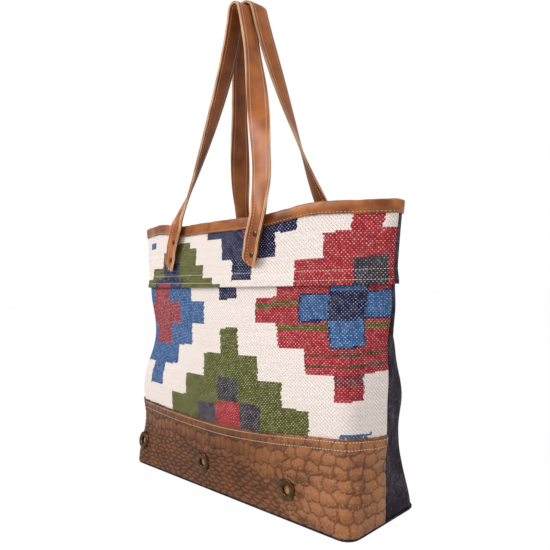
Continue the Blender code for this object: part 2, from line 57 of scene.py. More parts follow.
# %% Sizes of the body
BASE_HALF_WIDTH = 0.1845
BASE_HALF_DEPTH = 0.0590
BASE_CORNER_RADIUS = 0.016
MOUTH_HALF_WIDTH = 0.213
MOUTH_HALF_DEPTH = 0.0535
MOUTH_END_RADIUS = 0.014
RIM_HEIGHT = 0.320
BELLY = 0.004
RIGHT_SWELL = 0.0090
RIGHT_SWELL_HEIGHT = 0.14
RIGHT_FLARE_START = 0.13
RIGHT_FLARE_POWER = 1.6
LEFT_SWELL_HEIGHT = 0.15
LEFT_PINCH = 0.016
LEFT_PINCH_HEIGHT = 0.18
LEFT_PINCH_SPREAD = 0.060
FOLD_LOW_HEIGHT = 0.07
FOLD_LOW = (0.42, 0.33)  # at the left end and at the right end, as in the next four
FOLD_START = (0.13, 0.11)
CREASE_HEIGHT = (0.175, 0.212)
CREASE_SPREAD = (0.050, 0.020)
CREASE_DEPTH = (0.60, 0.75)
FRONT_RIM_DROP = 0.0085
BACK_RIM_DROP = 0.004
RIM_DROP_HALF_WIDTH = 0.06
RIM_DROP_EASE = 0.08
RIGHT_SEAM_DROP = 0.004
RIGHT_SEAM_DROP_START = 0.55
HALF_GIRTH = 0.235  # cloth from the front's middle to a side seam

# %% Sizes of the layers
SEAM_HEIGHT = 0.0035
LEATHER_HEIGHT = 0.082
LEATHER_RISE_LEFT = 0.004
LEATHER_RISE_RIGHT = 0.013
LEATHER_SEAM_DROP = 0.0055
LEATHER_DROP_START = 0.72
LEATHER_LAP = 0.010
HEM_HEIGHT = 0.2377
HEM_LAP = 0.0158
HEM_FLARE = 0.0022
HEM_FLARE_HEIGHT = 0.018
CLEARANCE = 0.0003
CLOTH = 0.0015
LEATHER = 0.0016
LINING = 0.0008
BINDING = 0.0012
BINDING_HEIGHT = 0.011
LOWER_DEPTH = LEATHER + CLEARANCE
UPPER_DEPTH = LOWER_DEPTH - CLEARANCE - CLOTH
LINING_DEPTH = LOWER_DEPTH + CLOTH + CLEARANCE
LINING_INNER = LINING_DEPTH + LINING


# %% The surface of the body
def smooth(t):
    """Ease from 0 to 1, flat outside that range."""
    t = np.clip(t, 0.0, 1.0)
    return t * t * (3 - 2 * t)


def mix(a, b, t):
    """Straight blend of two numbers or arrays."""
    return a + (b - a) * t


def half_width(z, right):
    """Distance of the side seam from the middle at height z."""
    flare = np.clip(z - RIGHT_FLARE_START, 0, None) / (RIM_HEIGHT - RIGHT_FLARE_START)
    widening = MOUTH_HALF_WIDTH - BASE_HALF_WIDTH
    right_end = RIGHT_SWELL * smooth(z / RIGHT_SWELL_HEIGHT)
    right_end = right_end + (widening - RIGHT_SWELL) * flare ** RIGHT_FLARE_POWER
    pinch = LEFT_PINCH * np.exp(-((z - LEFT_PINCH_HEIGHT) / LEFT_PINCH_SPREAD) ** 2)
    return BASE_HALF_WIDTH + np.where(right, right_end, widening * smooth(z / LEFT_SWELL_HEIGHT) - pinch)


def half_depth(z):
    """Half the bag's depth at its middle at height z."""
    return mix(BASE_HALF_DEPTH, MOUTH_HALF_DEPTH, z / RIM_HEIGHT) + BELLY * np.sin(math.pi * z / RIM_HEIGHT)


def fold(z, right):
    """Share of the mouth's lens in the plan at height z: 0 is the boxed base, 1 is the lens."""
    low, start, height, spread, depth = (
        np.where(right, pair[1], pair[0])
        for pair in (FOLD_LOW, FOLD_START, CREASE_HEIGHT, CREASE_SPREAD, CREASE_DEPTH))
    share = low * smooth(z / FOLD_LOW_HEIGHT) + (1 - low) * smooth((z - start) / (RIM_HEIGHT - start))
    return share + (1 - share) * depth * np.exp(-((z - height) / spread) ** 2)


def box_quarter(q, width, depth):
    """Quarter of a rounded rectangle, from the front's middle at q = 0 to the side's middle at q = 1."""
    radius = BASE_CORNER_RADIUS
    flat = width - radius
    arc = radius * math.pi / 2
    along = q * (flat + arc + depth - radius)
    turn = np.clip((along - flat) / radius, 0, math.pi / 2)
    past = np.clip(along - flat - arc, 0, None)
    return np.minimum(along, flat) + radius * np.sin(turn), depth - radius + radius * np.cos(turn) - past


def lens_quarter(q, width, depth):
    """Quarter of a lens with rounded ends: a parabola moved outward by the end radius."""
    radius = MOUTH_END_RADIUS
    run = width - radius
    rise = depth - radius
    end_turn = np.arctan(2 * rise / run)
    bow = run * (1 + 2 / 3 * (rise / run) ** 2) + radius * end_turn
    bow_share = bow / (bow + radius * (math.pi / 2 - end_turn))
    on_bow = q < bow_share
    x = np.where(on_bow, run * q / bow_share, run)
    end = mix(end_turn, math.pi / 2, (q - bow_share) / (1 - bow_share))
    turn = np.where(on_bow, np.arctan(2 * rise * x / run ** 2), end)
    y = rise * (1 - (x / run) ** 2)
    return x + radius * np.sin(turn), y + radius * np.cos(turn)


def skin(u, z, face):
    """Points of the bag's outer surface; face is -1 on the front and 1 on the back."""
    u, z, face = np.broadcast_arrays(np.asarray(u, float), np.asarray(z, float), np.asarray(face, float))
    over = np.abs(u) > 1
    face = np.where(over, -face, face)
    u = np.where(over, 2 * np.sign(u) - u, u)
    q, right = np.abs(u), u >= 0
    width, depth, share = half_width(z, right), half_depth(z), fold(z, right)
    box_x, box_y = box_quarter(q, width, depth)
    lens_x, lens_y = lens_quarter(q, width, depth)
    x = np.where(right, 1, -1) * mix(box_x, lens_x, share)
    return np.stack([x, face * mix(box_y, lens_y, share), z], -1)


def skin_normal(u, z, face):
    """Outward normals of the outer surface."""
    step = 0.002
    across = skin(u + step, z, face) - skin(u - step, z, face)
    up = skin(u, z + step, face) - skin(u, z - step, face)
    normal = np.cross(across, up) * -np.asarray(face, float)[..., None]
    return normal / np.linalg.norm(normal, axis=-1, keepdims=True)


print("front, height 0.15 m, middle:", skin(0.0, 0.15, -1).round(4))

# %% [markdown]
# ## Lines and dents that the layers share
# The rim dips a little between the straps, the leather's top edge rises towards the seams, and the
# canvas side has slack, so it dents. The dents are a few long waves that die out at the hem and the base.
# They move every layer together, which keeps the cloth on its lining.

# %% Rim, leather line and dents
DENT_FRONT = 0.0005
DENT_BACK = 0.0026


def rim_line(u, face):
    """Height of the panels' top edge."""
    drop = np.where(np.asarray(face) < 0, FRONT_RIM_DROP, BACK_RIM_DROP)
    middle_drop = drop * (1 - smooth((np.abs(u) * MOUTH_HALF_WIDTH - RIM_DROP_HALF_WIDTH) / RIM_DROP_EASE))
    seam_drop = RIGHT_SEAM_DROP * smooth((u - RIGHT_SEAM_DROP_START) / (1 - RIGHT_SEAM_DROP_START))
    return RIM_HEIGHT - middle_drop - seam_drop


def leather_line(u):
    """Height of the leather base's top edge: it rises from the middle and slackens at the right seam."""
    rise = np.where(u > 0, LEATHER_RISE_RIGHT, LEATHER_RISE_LEFT) * smooth(np.abs(u))
    drop = LEATHER_SEAM_DROP * smooth((u - LEATHER_DROP_START) / (1 - LEATHER_DROP_START))
    return LEATHER_HEIGHT + rise - drop


def dents(points):
    """How far the slack cloth stands out, from a few long waves."""
    x, y, z = points[..., 0], points[..., 1], points[..., 2]
    wave = np.sin(31 * x + 58 * z + 1.3) + np.sin(73 * x - 33 * z + 40 * y) + np.sin(97 * z + 60 * y - 0.4)
    reach = mix(DENT_FRONT, DENT_BACK, smooth((y + 0.030) / 0.030))
    return reach * wave / 3 * smooth((z - 0.02) / 0.05) * smooth((0.262 - z) / 0.05)


def layer_point(u, z, face, depth):
    """Points at a depth under the outer surface; a negative depth stands proud of it."""
    base = skin(u, z, face)
    return base + skin_normal(u, z, face) * (dents(base) - depth)[..., None]


def hem_flare(z):
    """How far the hem of the upper band stands away from the body."""
    return HEM_FLARE * (1 - smooth((z - HEM_HEIGHT) / HEM_FLARE_HEIGHT))


def ring(a):
    """u and face all the way round the bag, from the left seam along the front and back again."""
    front = a < 0.5
    return np.where(front, 4 * a - 1, 3 - 4 * a), np.where(front, -1.0, 1.0)


print("rim heights, middle and seam:", rim_line(0.0, -1), rim_line(1.0, -1))

# %% [markdown]
# ## Colour and node helpers
# Colours are noted as they look on a screen, in hex, and turned to the linear values that shaders use.
# Every material is a Principled shader with a few texture nodes. One small function adds a node with its
# settings and links, so a material reads from top to bottom like a recipe. The settings that come again
# and again have names.

# %% Helpers for materials
ADD, SUBTRACT, MULTIPLY, DIVIDE, MULTIPLY_ADD, MAXIMUM, FRACT, FLOOR, SINE = (
    {"operation": name} for name in (
        "ADD", "SUBTRACT", "MULTIPLY", "DIVIDE", "MULTIPLY_ADD", "MAXIMUM", "FRACT", "FLOOR", "SINE"))
BLEND = {"data_type": "RGBA"}
DARKEN = {"data_type": "RGBA", "blend_type": "MULTIPLY"}
EASED = {"interpolation_type": "SMOOTHSTEP"}
ON_CLOTH = {"uv_map": "cloth"}


def linear(hex_colour):
    """Linear RGBA of an sRGB hex colour."""
    channels = [int(hex_colour[k:k + 2], 16) / 255 for k in (1, 3, 5)]
    return tuple(c / 12.92 if c <= 0.04045 else ((c + 0.055) / 1.055) ** 2.4 for c in channels) + (1.0,)


def fill_inputs(tree, node, *values, **named):
    """Sets inputs in order or by name; each value is a number, a colour, a node or a node's output."""
    pairs = list(zip([socket for socket in node.inputs if socket.enabled], values))
    pairs += [(node.inputs[key.replace("_", " ")], value) for key, value in named.items()]
    for socket, value in pairs:
        if isinstance(value, bpy.types.Node):
            value = next(output for output in value.outputs if output.enabled)
        if isinstance(value, bpy.types.NodeSocket):
            tree.links.new(value, socket)
        else:
            socket.default_value = value


def add_node(tree, kind, settings=None, *values, **named):
    """Node with its settings and its inputs."""
    node = tree.nodes.new("ShaderNode" + kind)
    for key, value in (settings or {}).items():
        setattr(node, key, value)
    fill_inputs(tree, node, *values, **named)
    return node


def new_material(name, **shader_inputs):
    """Principled material, the function that adds a node to it and the one that feeds its shader."""
    material = bpy.data.materials.new(name)
    material.use_nodes = True
    tree = material.node_tree
    feed = partial(fill_inputs, tree, tree.nodes["Principled BSDF"])
    feed(**shader_inputs)
    return material, partial(add_node, tree), feed


def oval(add, x, half_x, y, half_y):
    """Squared distance from the middle of an oval, 1 on its edge."""
    x, y = add("Math", DIVIDE, x, half_x), add("Math", DIVIDE, y, half_y)
    return add("Math", MULTIPLY_ADD, x, x, add("Math", MULTIPLY, y, y))


print("cream in linear light:", [round(c, 3) for c in linear("#E7DBD4")])

# %% [markdown]
# ## Hand-loomed cotton kilim
# The front is a heavy flat-woven cotton with cream yarn and dyed yarn. Up close it is a field of small
# beads where one thread passes over another, in rows that are staggered by half a bead, and the cream
# warp pricks through the dyed parts as pale dots. The bead rows come from the cloth's own UV map, which
# is in metres along the cloth, so they follow it round the corners. The colour fields come from an
# attribute on the mesh.

# %% Kilim material
BEAD_PITCH = 2.1  # mm, one bead along a row
BEAD_ROW = 1.9  # mm between rows
WARP_DOT_PITCH = 4.2  # mm, every second bead shows a warp dot
WARP_DOT_SHARE = 0.40
WARP_COLOUR = linear("#D8CBC6")

kilim, add, feed = new_material("hand_loomed_cotton_kilim", Roughness=0.95, Specular_IOR_Level=0.08)
cloth_map = add("UVMap", ON_CLOTH)
apart = add("SeparateXYZ", {}, cloth_map)
run = add("Math", MULTIPLY, apart, 1000.0)
rise = add("Math", DIVIDE, apart.outputs[1], BEAD_ROW / 1000)
row_number = add("Math", FLOOR, rise)
row_phase = add("Math", SUBTRACT, add("Math", FRACT, rise), 0.5)
stagger = add("Math", FRACT, add("Math", MULTIPLY, row_number, 0.5))
bead_place = add("Math", ADD, add("Math", DIVIDE, run, BEAD_PITCH), stagger)
bead_phase = add("Math", SUBTRACT, add("Math", FRACT, bead_place), 0.5)
bead_edge = oval(add, bead_phase, 0.5, row_phase, 0.5)
dot = add("Math", FRACT, add("Math", ADD, add("Math", DIVIDE, run, WARP_DOT_PITCH), stagger))
dot_aside = add("Math", MULTIPLY, add("Math", SUBTRACT, dot, 0.5), WARP_DOT_PITCH)
dot_above = add("Math", MULTIPLY, row_phase, BEAD_ROW)
leaned = add("Math", MULTIPLY_ADD, dot_above, 0.9, dot_aside)
slub = add("TexNoise", {}, Vector=cloth_map, Scale=420.0, Detail=2.0)
fade = add("TexNoise", {}, Vector=cloth_map, Scale=110.0, Detail=4.0)
bead_number = add("CombineXYZ", {}, add("Math", FLOOR, bead_place), row_number)
chance = add("TexWhiteNoise", {}, Vector=bead_number).outputs["Value"]
yarn = add("Attribute", {"attribute_name": "yarn"})
ground = yarn.outputs["Alpha"]
dyed = add("Math", SUBTRACT, 1.0, ground)

# The shadows in the gaps between beads, and short slanting dashes on the cream ground
gap = add("MapRange", EASED, bead_edge, 0.75, 1.75)
gap_show = add("Math", MULTIPLY, gap, add("Math", MULTIPLY_ADD, dyed, 0.60, 0.30))
shaded = add("Mix", DARKEN, gap_show, yarn, linear("#7A7370"))
dash = add("MapRange", EASED, oval(add, leaned, 0.40, dot_above, 0.80), 0.4, 1.6, 1.0, 0.0)
dash_share = add("Math", MULTIPLY, ground, add("Math", MULTIPLY_ADD, chance, 0.9, 0.30))
dashed = add("Mix", DARKEN, add("Math", MULTIPLY, dash, dash_share), shaded, linear("#A39C9A"))

# Worn places and the pale dots of the warp on the dyed yarn
worn = add("Math", MULTIPLY, add("MapRange", EASED, fade, 0.45, 0.75), add("Math", MULTIPLY, dyed, 0.06))
faded = add("Mix", BLEND, worn, dashed, WARP_COLOUR)
warp_dot = add("MapRange", EASED, oval(add, dot_aside, 0.75, dot_above, 0.55), 0.4, 1.5, 1.0, 0.0)
warp_share = add("Math", MULTIPLY, add("Math", ADD, 0.35, chance), WARP_DOT_SHARE)
warp_show = add("Math", MULTIPLY, warp_dot, add("Math", MULTIPLY, dyed, warp_share))
pricked = add("Mix", BLEND, warp_show, faded, WARP_COLOUR)

# Every bead takes the dye a little differently, and the yarn is uneven
bead_spread = add("Math", MULTIPLY_ADD, dyed, 0.46, 0.10)
bead_shade = add("Math", MULTIPLY_ADD, bead_spread, chance, add("Math", MULTIPLY_ADD, dyed, -0.17, 0.95))
slub_shade = add("Math", MULTIPLY, bead_shade, add("Math", MULTIPLY_ADD, slub, 0.48, 0.76))
woven = add("Mix", DARKEN, 1.0, pricked, add("CombineColor", {}, slub_shade, slub_shade, slub_shade))
bead_height = add("Math", MULTIPLY_ADD, bead_edge, -0.5, 1.0)
feed(Base_Color=woven, Normal=add("Bump", {}, Strength=1.0, Distance=0.00035, Height=bead_height))
print("kilim nodes:", len(kilim.node_tree.nodes))

# %% [markdown]
# ## Charcoal canvas and cotton lining
# The back, the sides behind the seams and the bottom are dark twill. Twill shows as fine slanting ribs,
# and washed dark canvas has paler threads in it, so the colour wanders a little. The lining is a plain
# thin cotton. Both patterns run on the cloth's own UV map.

# %% Canvas and lining materials
TWILL_RIB = 1.4  # mm, drawn a little coarser than the real 1 mm so that it shows
STREAKS = (260.0, 1500.0, 1.0)  # per metre across and along the pale threads


def woven_plain(name, dark, light, rib, slant):
    """Plain dyed cloth with fine slanting ribs."""
    material, add, feed = new_material(name, Roughness=0.95, Specular_IOR_Level=0.15)
    cloth_map = add("UVMap", ON_CLOTH)
    apart = add("SeparateXYZ", {}, cloth_map)
    slanted = add("Math", MULTIPLY_ADD, apart.outputs[1], slant, apart)
    rib_phase = add("Math", FRACT, add("Math", DIVIDE, slanted, rib / 1000))
    rib_top = add("Math", SINE, add("Math", MULTIPLY, rib_phase, math.pi))
    streak_map = add("Mapping", {}, Vector=cloth_map, Scale=STREAKS)
    streak = add("TexNoise", {}, Vector=streak_map, Scale=1.0, Detail=3.0)
    cloud = add("TexNoise", {}, Vector=cloth_map, Scale=28.0, Detail=3.0)
    speck = add("TexNoise", {}, Vector=cloth_map, Scale=190.0, Detail=4.0)
    streaky = add("Math", MULTIPLY, add("MapRange", EASED, streak, 0.34, 0.66), rib_top)
    cloudy = add("Math", ADD, add("MapRange", EASED, cloud, 0.38, 0.66), 0.25)
    specky = add("Math", MULTIPLY, add("MapRange", EASED, speck, 0.50, 0.72), 0.35)
    share = add("Math", MULTIPLY_ADD, streaky, cloudy, specky)
    rib_height = add("Math", MULTIPLY_ADD, speck, 2.0, rib_top)
    feed(
        Base_Color=add("Mix", BLEND, share, linear(dark), linear(light)),
        Normal=add("Bump", {}, Strength=1.0, Distance=0.0003, Height=rib_height))
    return material


canvas = woven_plain("charcoal_cotton_twill", "#1D181F", "#6A606C", TWILL_RIB, 1.0)
canvas_band = woven_plain("charcoal_cotton_twill_band", "#2A242D", "#786E7B", TWILL_RIB, 1.0)
lining_cloth = woven_plain("plain_cotton_lining", "#3A3430", "#5A524C", 0.9, 0.0)
print("canvas rib:", TWILL_RIB, "mm")

# %% [markdown]
# ## Leathers
# The foot is cowhide pressed with a crocodile pattern and glazed. Its colour is painted with light and shade:
# the grooves darker, each scale lighter in its middle and towards its upper edge, as lit from above, and the
# whole foot lighter towards the right end, where more light falls, with small painted glints. The straps,
# the rim and the backing behind the eyelets are vegetable-tanned leather, satin, with faint clouds and
# pores. The cut edges of the straps are raw and pale, and the inner ply is painted darker, as shade.

# %% Leather materials
embossed, add, feed = new_material("crocodile_embossed_cowhide", IOR=1.5, Specular_IOR_Level=0.20)
scale_top = add("Attribute", {"attribute_name": "scale_top"}).outputs["Fac"]
scale_light = add("Attribute", {"attribute_name": "scale_rubbed"}).outputs["Fac"]
place = add("TexCoord").outputs["Object"]
cloud = add("TexNoise", {}, Vector=place, Scale=45.0, Detail=5.0)
crinkle = add("TexNoise", {}, Vector=place, Scale=520.0, Detail=4.0)
# Painted light: every colour of the foot is lighter towards the right end, where more light falls.
right_end_light = add("MapRange", EASED, add("SeparateXYZ", {}, add("UVMap", ON_CLOTH)), 0.26, 0.40)
low_colour, high_colour, groove_shade_colour = (
    add("Mix", BLEND, right_end_light, linear(left), linear(right)) for left, right in (
        ("#351A0A", "#4C2A16"), ("#774622", "#9C6540"), ("#3A1E0D", "#633B22")))
# The tops' colour mixes the painted light and shade of each scale with random clouds and crinkles of tone.
tone_and_painted_light = add("Math", MULTIPLY_ADD, scale_light, 0.50, add("Math", MULTIPLY, cloud, 0.75))
tone_and_painted_light = add("Math", MULTIPLY_ADD, crinkle, 0.35, tone_and_painted_light)
top_colour = add("Mix", BLEND, add("MapRange", EASED, tone_and_painted_light, 0.50, 1.15), low_colour, high_colour)
# Painted shade: the grooves take a darker colour than the scales' tops.
groove_shaded = add("Mix", BLEND, scale_top, groove_shade_colour, top_colour)
# Painted glints: small pale specks towards the right end of the foot.
painted_glint = add("MapRange", EASED, crinkle, 0.54, 0.74)
painted_glint = add("Math", MULTIPLY, painted_glint, add("Math", MULTIPLY, right_end_light, 0.36))
feed(
    Base_Color=add("Mix", BLEND, painted_glint, groove_shaded, linear("#C9A78C")),
    Roughness=add("Math", MULTIPLY_ADD, scale_top, -0.26, 0.66),
    Normal=add("Bump", {}, Strength=0.8, Distance=0.0005, Height=crinkle))


def smooth_leather(name, dark, light, roughness, pore_depth):
    """Vegetable-tanned leather with soft clouds of colour and fine pores."""
    material, add, feed = new_material(name, Roughness=roughness, IOR=1.5, Specular_IOR_Level=0.35)
    place = add("TexCoord").outputs["Object"]
    cloud = add("TexNoise", {}, Vector=place, Scale=38.0, Detail=5.0)
    pores = add("TexNoise", {}, Vector=place, Scale=1600.0, Detail=2.0)
    share = add("MapRange", EASED, cloud, 0.30, 0.72)
    feed(
        Base_Color=add("Mix", BLEND, share, linear(dark), linear(light)),
        Normal=add("Bump", {}, Strength=0.7, Distance=pore_depth, Height=pores))
    return material


strap_leather = smooth_leather("vegetable_tanned_strap_leather", "#86461D", "#AC6430", 0.40, 0.00006)
# The inner ply is the strap leather painted darker, as shade on the strap's inner side.
strap_inner_shaded = smooth_leather("strap_leather_inner_ply_painted_shade", "#743A14", "#9A5624", 0.50, 0.00010)
raw_edge = smooth_leather("raw_cut_leather_edge", "#B98A66", "#DDB896", 0.75, 0.00010)
rim_leather = smooth_leather("rubbed_rim_leather", "#6E3412", "#B06A32", 0.36, 0.00010)
backing_leather = smooth_leather("tan_backing_leather", "#9A6238", "#C08A5C", 0.60, 0.00008)
print("leathers:", embossed.name, strap_leather.name, rim_leather.name)

# %% [markdown]
# ## Thread and antiqued brass
# The stitches are thick waxed cotton in cream, and a tan thread on the rim. Rivets and eyelets are brass
# that was darkened and rubbed back, so the high parts shine through a brown skin.

# %% Thread and brass materials
THREAD_SHADE = 0.72  # how dark the fibres' hollows are


def thread_material(name, colour):
    """Matt waxed thread."""
    material, add, feed = new_material(name, Roughness=0.7, Specular_IOR_Level=0.3)
    fibre = add("TexNoise", {}, Vector=add("TexCoord").outputs["Object"], Scale=2600.0, Detail=1.0)
    dark = tuple(THREAD_SHADE * c for c in linear(colour)[:3]) + (1.0,)
    feed(Base_Color=add("Mix", BLEND, fibre, dark, linear(colour)))
    return material


cream_thread = thread_material("waxed_cream_thread", "#EADCC8")
tan_thread = thread_material("waxed_tan_thread", "#DDBE98")

brass, add, feed = new_material("antiqued_rubbed_brass", Metallic=1.0)
rub = add("TexNoise", {}, Vector=add("TexCoord").outputs["Object"], Scale=130.0, Detail=2.0)
shine = add("MapRange", EASED, rub, 0.35, 0.75)
feed(
    Base_Color=add("Mix", BLEND, shine, linear("#493626"), linear("#6B5239")),
    Roughness=add("Math", MULTIPLY_ADD, shine, -0.14, 0.34),
    Normal=add("Bump", {}, Strength=0.5, Distance=0.00002, Height=rub))
print("thread and metal:", cream_thread.name, tan_thread.name, brass.name)

# %% [markdown]
# ## A grid that is laid on the body
# Each cloth piece starts as a flat grid, as cloth does, and each of its corners is then moved to where
# the body has it. The grid's own coordinates become the UV map in metres along the cloth, so weave and
# ribs keep their real size.

# %% Helpers for laid pieces
SEAM_PINCH = 0.0009  # how far a turned side seam sinks in
SEAM_PINCH_SPAN = 0.016  # over this share of the front's half width


def made_from(name, builder, materials):
    """Smooth object from a finished builder, linked to the scene."""
    mesh = bpy.data.meshes.new(name)
    builder.to_mesh(mesh)
    builder.free()
    for material in materials:
        mesh.materials.append(material)
    mesh.shade_smooth()
    made = bpy.data.objects.new(name, mesh)
    bpy.context.scene.collection.objects.link(made)
    return made


@contextmanager
def reshaped(piece):
    """Builder with a piece's mesh, which goes back into the piece at the end."""
    builder = bmesh.new()
    builder.from_mesh(piece.data)
    yield builder
    builder.to_mesh(piece.data)
    builder.free()


def laid_grid(name, columns, rows, place, cloth_size, materials, welded=False):
    """Grid of columns by rows; place(a, b) gives its corners, with a and b from 0 to 1."""
    builder = bmesh.new()
    bmesh.ops.create_grid(builder, x_segments=columns, y_segments=rows, size=0.5, calc_uvs=True)
    made = made_from(name, builder, materials)
    mesh = made.data
    flat = np.empty(len(mesh.vertices) * 3, np.float32)
    mesh.vertices.foreach_get("co", flat)
    a, b = np.clip(flat.reshape(-1, 3)[:, :2].astype(float).T + 0.5, 0, 1)
    corner = np.empty(len(mesh.loops), np.int32)
    mesh.loops.foreach_get("vertex_index", corner)
    cloth = np.stack([(a * cloth_size[0])[corner], (b * cloth_size[1])[corner]], -1)
    layer = mesh.uv_layers.new(name="cloth")
    layer.data.foreach_set("uv", cloth.astype(np.float32).ravel())
    mesh.vertices.foreach_set("co", place(a, b).astype(np.float32).ravel())
    if welded:
        with reshaped(made) as builder:
            bmesh.ops.remove_doubles(builder, verts=builder.verts[:], dist=0.000001)
    mesh.shade_smooth()
    return made


def wall(piece, thickness):
    """Gives an open sheet its thickness, grown inward from the outer face."""
    thick = piece.modifiers.new("Wall", "SOLIDIFY")
    thick.thickness = thickness
    thick.offset = -1


def seam_pinch(u):
    """Depth of the groove where the front and the back meet at a side seam."""
    return SEAM_PINCH * (1 - smooth((1 - np.abs(u)) / SEAM_PINCH_SPAN)) ** 2


def panel_place(face, low, high, depth, flare=False, relief=None):
    """place() for a panel from side seam to side seam between two lines low(u) and high(u)."""
    seam = 1 - CLEARANCE / (BASE_HALF_WIDTH + BASE_HALF_DEPTH)

    def place(a, b):
        u = -face * mix(-seam, seam, a)
        z = mix(low(u), high(u), b)
        under = depth + seam_pinch(u) - (hem_flare(z) if flare else 0)
        if relief is not None:
            under = under - relief(a, b)
        return layer_point(u, z, np.full_like(u, face), under)

    return place


def hand_in(piece, node):
    """The piece rides on the bag's one body and stands for a node of the frame."""
    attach(piece, "root")
    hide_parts(node)


print("side seam sinks", SEAM_PINCH * 1000, "mm")

# %% [markdown]
# ## The colour fields of the kilim
# A kilim is woven in blocks, because a colour can only turn back at a warp thread. That makes stepped
# diamonds: each step is about 33 mm wide and 26 mm high here. Each field is a rectangle in millimetres
# on the cloth, from the front's middle and from the floor, and later ones lie over earlier ones. Rows
# shift by a thread here and there, so the edges come out toothed.

# %% Fields of colour
CREAM = linear("#E7DBD4")
RED = linear("#98262D")
NAVY = linear("#172044")
BLUE = linear("#2F5887")
OLIVE = linear("#50541C")
CHARCOAL = linear("#322F39")
BROWN = linear("#4A3826")
MAROON = linear("#6E262E")
DULL_RED = linear("#8A343D")

UPPER_FIELDS = [
    (-16, 124, 294, 330, NAVY), (13, 97, 269, 294, NAVY), (31, 63, 245, 269, NAVY),
    (49, 70, 292, 305, MAROON),
    (186, 218, 290, 330, RED), (156, 260, 264, 290, RED), (122, 260, 230, 264, RED),
    (189, 226, 230, 264, CHARCOAL),
    (-116, -53, 286, 294, OLIVE), (-131, -39, 266, 286, OLIVE), (-168, -24, 251, 266, OLIVE),
    (-190, -4, 243, 251, OLIVE), (-190, 12, 230, 243, OLIVE),
    (-127, -80, 250, 270, NAVY), (-152, -68, 230, 250, NAVY), (-140, -104, 230, 245, RED),
    (-190, -166, 294, 301, BLUE),
    (-260, -206, 243, 262, RED), (-260, -222, 262, 284, RED),
]
LOWER_FIELDS = [
    (6, 37, 227, 260, NAVY),
    (98, 260, 227, 260, RED), (69, 260, 201, 227, RED), (98, 260, 174.5, 201, RED),
    (132, 260, 149.5, 174.5, RED), (166, 200, 125, 149.5, RED),
    (69, 131, 216, 221.5, OLIVE), (98, 163, 192, 198, OLIVE), (204, 260, 192, 197, OLIVE),
    (132, 260, 167, 170, BROWN), (132, 260, 156, 159, BROWN), (166, 200, 139, 149.5, MAROON),
    (163, 206, 227, 238.5, NAVY), (128, 166, 200.5, 228.5, NAVY), (203, 236, 200.5, 228.5, NAVY),
    (162, 204, 174.5, 203, NAVY),
    (165, 204, 229, 238, BLUE), (130, 164, 202.5, 226.5, BLUE), (205, 234, 202.5, 226.5, BLUE),
    (164, 202, 176.5, 201, BLUE), (166, 203, 203, 227, NAVY),
    (7, 38, 166, 195, OLIVE), (-26, 67, 139.5, 166, OLIVE), (-63, 101, 113.5, 139.5, OLIVE),
    (-97, 135, 60, 113.5, OLIVE), (0, 35, 113, 140, CHARCOAL), (-39, -5, 60, 108, CHARCOAL),
    (37, 69, 60, 112, CHARCOAL), (-5, 37, 60, 112, RED),
    (-224, -53, 226, 260, BLUE), (-252, -24, 200, 226, BLUE), (-224, -53, 174, 200, BLUE),
    (-189, -88, 149, 174, BLUE), (-155, -122, 120, 149, BLUE),
    (-165, -112, 226, 260, DULL_RED), (-195, -83, 200, 226, DULL_RED), (-165, -112, 174, 200, DULL_RED),
    (172, 191, 91, 93.5, BLUE), (191, 210, 90, 92.5, BLUE), (173, 177, 86, 91, BLUE),
    (180, 184, 86, 91, BLUE), (187, 191, 86, 91, BLUE), (194, 198, 86, 90, BLUE), (201, 205, 86, 90, BLUE),
]
LOWER_TILT = 0.035  # the rows hang lower towards the left end
UPPER_TILT = 0.010
THREAD_STEP = 1.2  # mm, how far a row's turning point may shift
TILT_FROM = 100  # mm from the front's middle, where a tilted row has its own height


def paint_cloth(piece, fields, tilt, height_of):
    """Yarn colour of every face, with the ground's share in alpha."""
    mesh = piece.data
    flat = np.empty(len(mesh.loops) * 2, np.float32)
    mesh.uv_layers["cloth"].data.foreach_get("uv", flat)
    middle = flat.reshape(-1, 4, 2).mean(1).astype(float)
    s = (middle[:, 0] - HALF_GIRTH) * 1000
    row = np.floor(middle[:, 1] * 1000 / BEAD_ROW)
    z = height_of(s / 1000 / HALF_GIRTH, middle[:, 1]) * 1000
    chance = np.random.default_rng(7).random((400, 3))
    shift = (chance[row.astype(int) % 400, 0] - 0.5) * 2 * THREAD_STEP
    level = z - tilt * (s - TILT_FROM)
    colour = np.tile(np.array(CREAM), (len(s), 1))
    colour[:, 3] = 1.0
    for left, right, low, high, yarn_colour in fields:
        inside = (s + shift >= left) & (s + shift < right) & (level >= low) & (level < high)
        colour[inside] = yarn_colour[:3] + (0.0,)
    bar = 0.97 + 0.06 * chance[row.astype(int) % 400, 1]
    colour[:, :3] *= bar[:, None]
    layer = mesh.color_attributes.new(name="yarn", type="FLOAT_COLOR", domain="CORNER")
    layer.data.foreach_set("color", np.repeat(colour, 4, axis=0).astype(np.float32).ravel())


print("fields of colour:", len(UPPER_FIELDS), "and", len(LOWER_FIELDS))

# %% [markdown]
# ## Front panels
# The lower panel runs from behind the leather up under the hem, and the upper band laps over it. The grid
# has one row of faces for each row of beads and a column every 1.2 mm, so each face carries the colour of
# one thread's turn, and the edges of the fields are as toothed as woven ones.

# %% Front panels
COLUMN_PITCH = 0.0012
GIRTH = 2 * HALF_GIRTH
FRONT_COLUMNS = round(GIRTH / COLUMN_PITCH)


def level_line(height):
    """Line that runs level round the bag."""
    return lambda u: np.full_like(u, height)


foot_line, hem_line, lap_line = (level_line(z) for z in (SEAM_HEIGHT, HEM_HEIGHT, HEM_HEIGHT + HEM_LAP))
rim_lines = {face: partial(rim_line, face=face) for face in (-1, 1)}


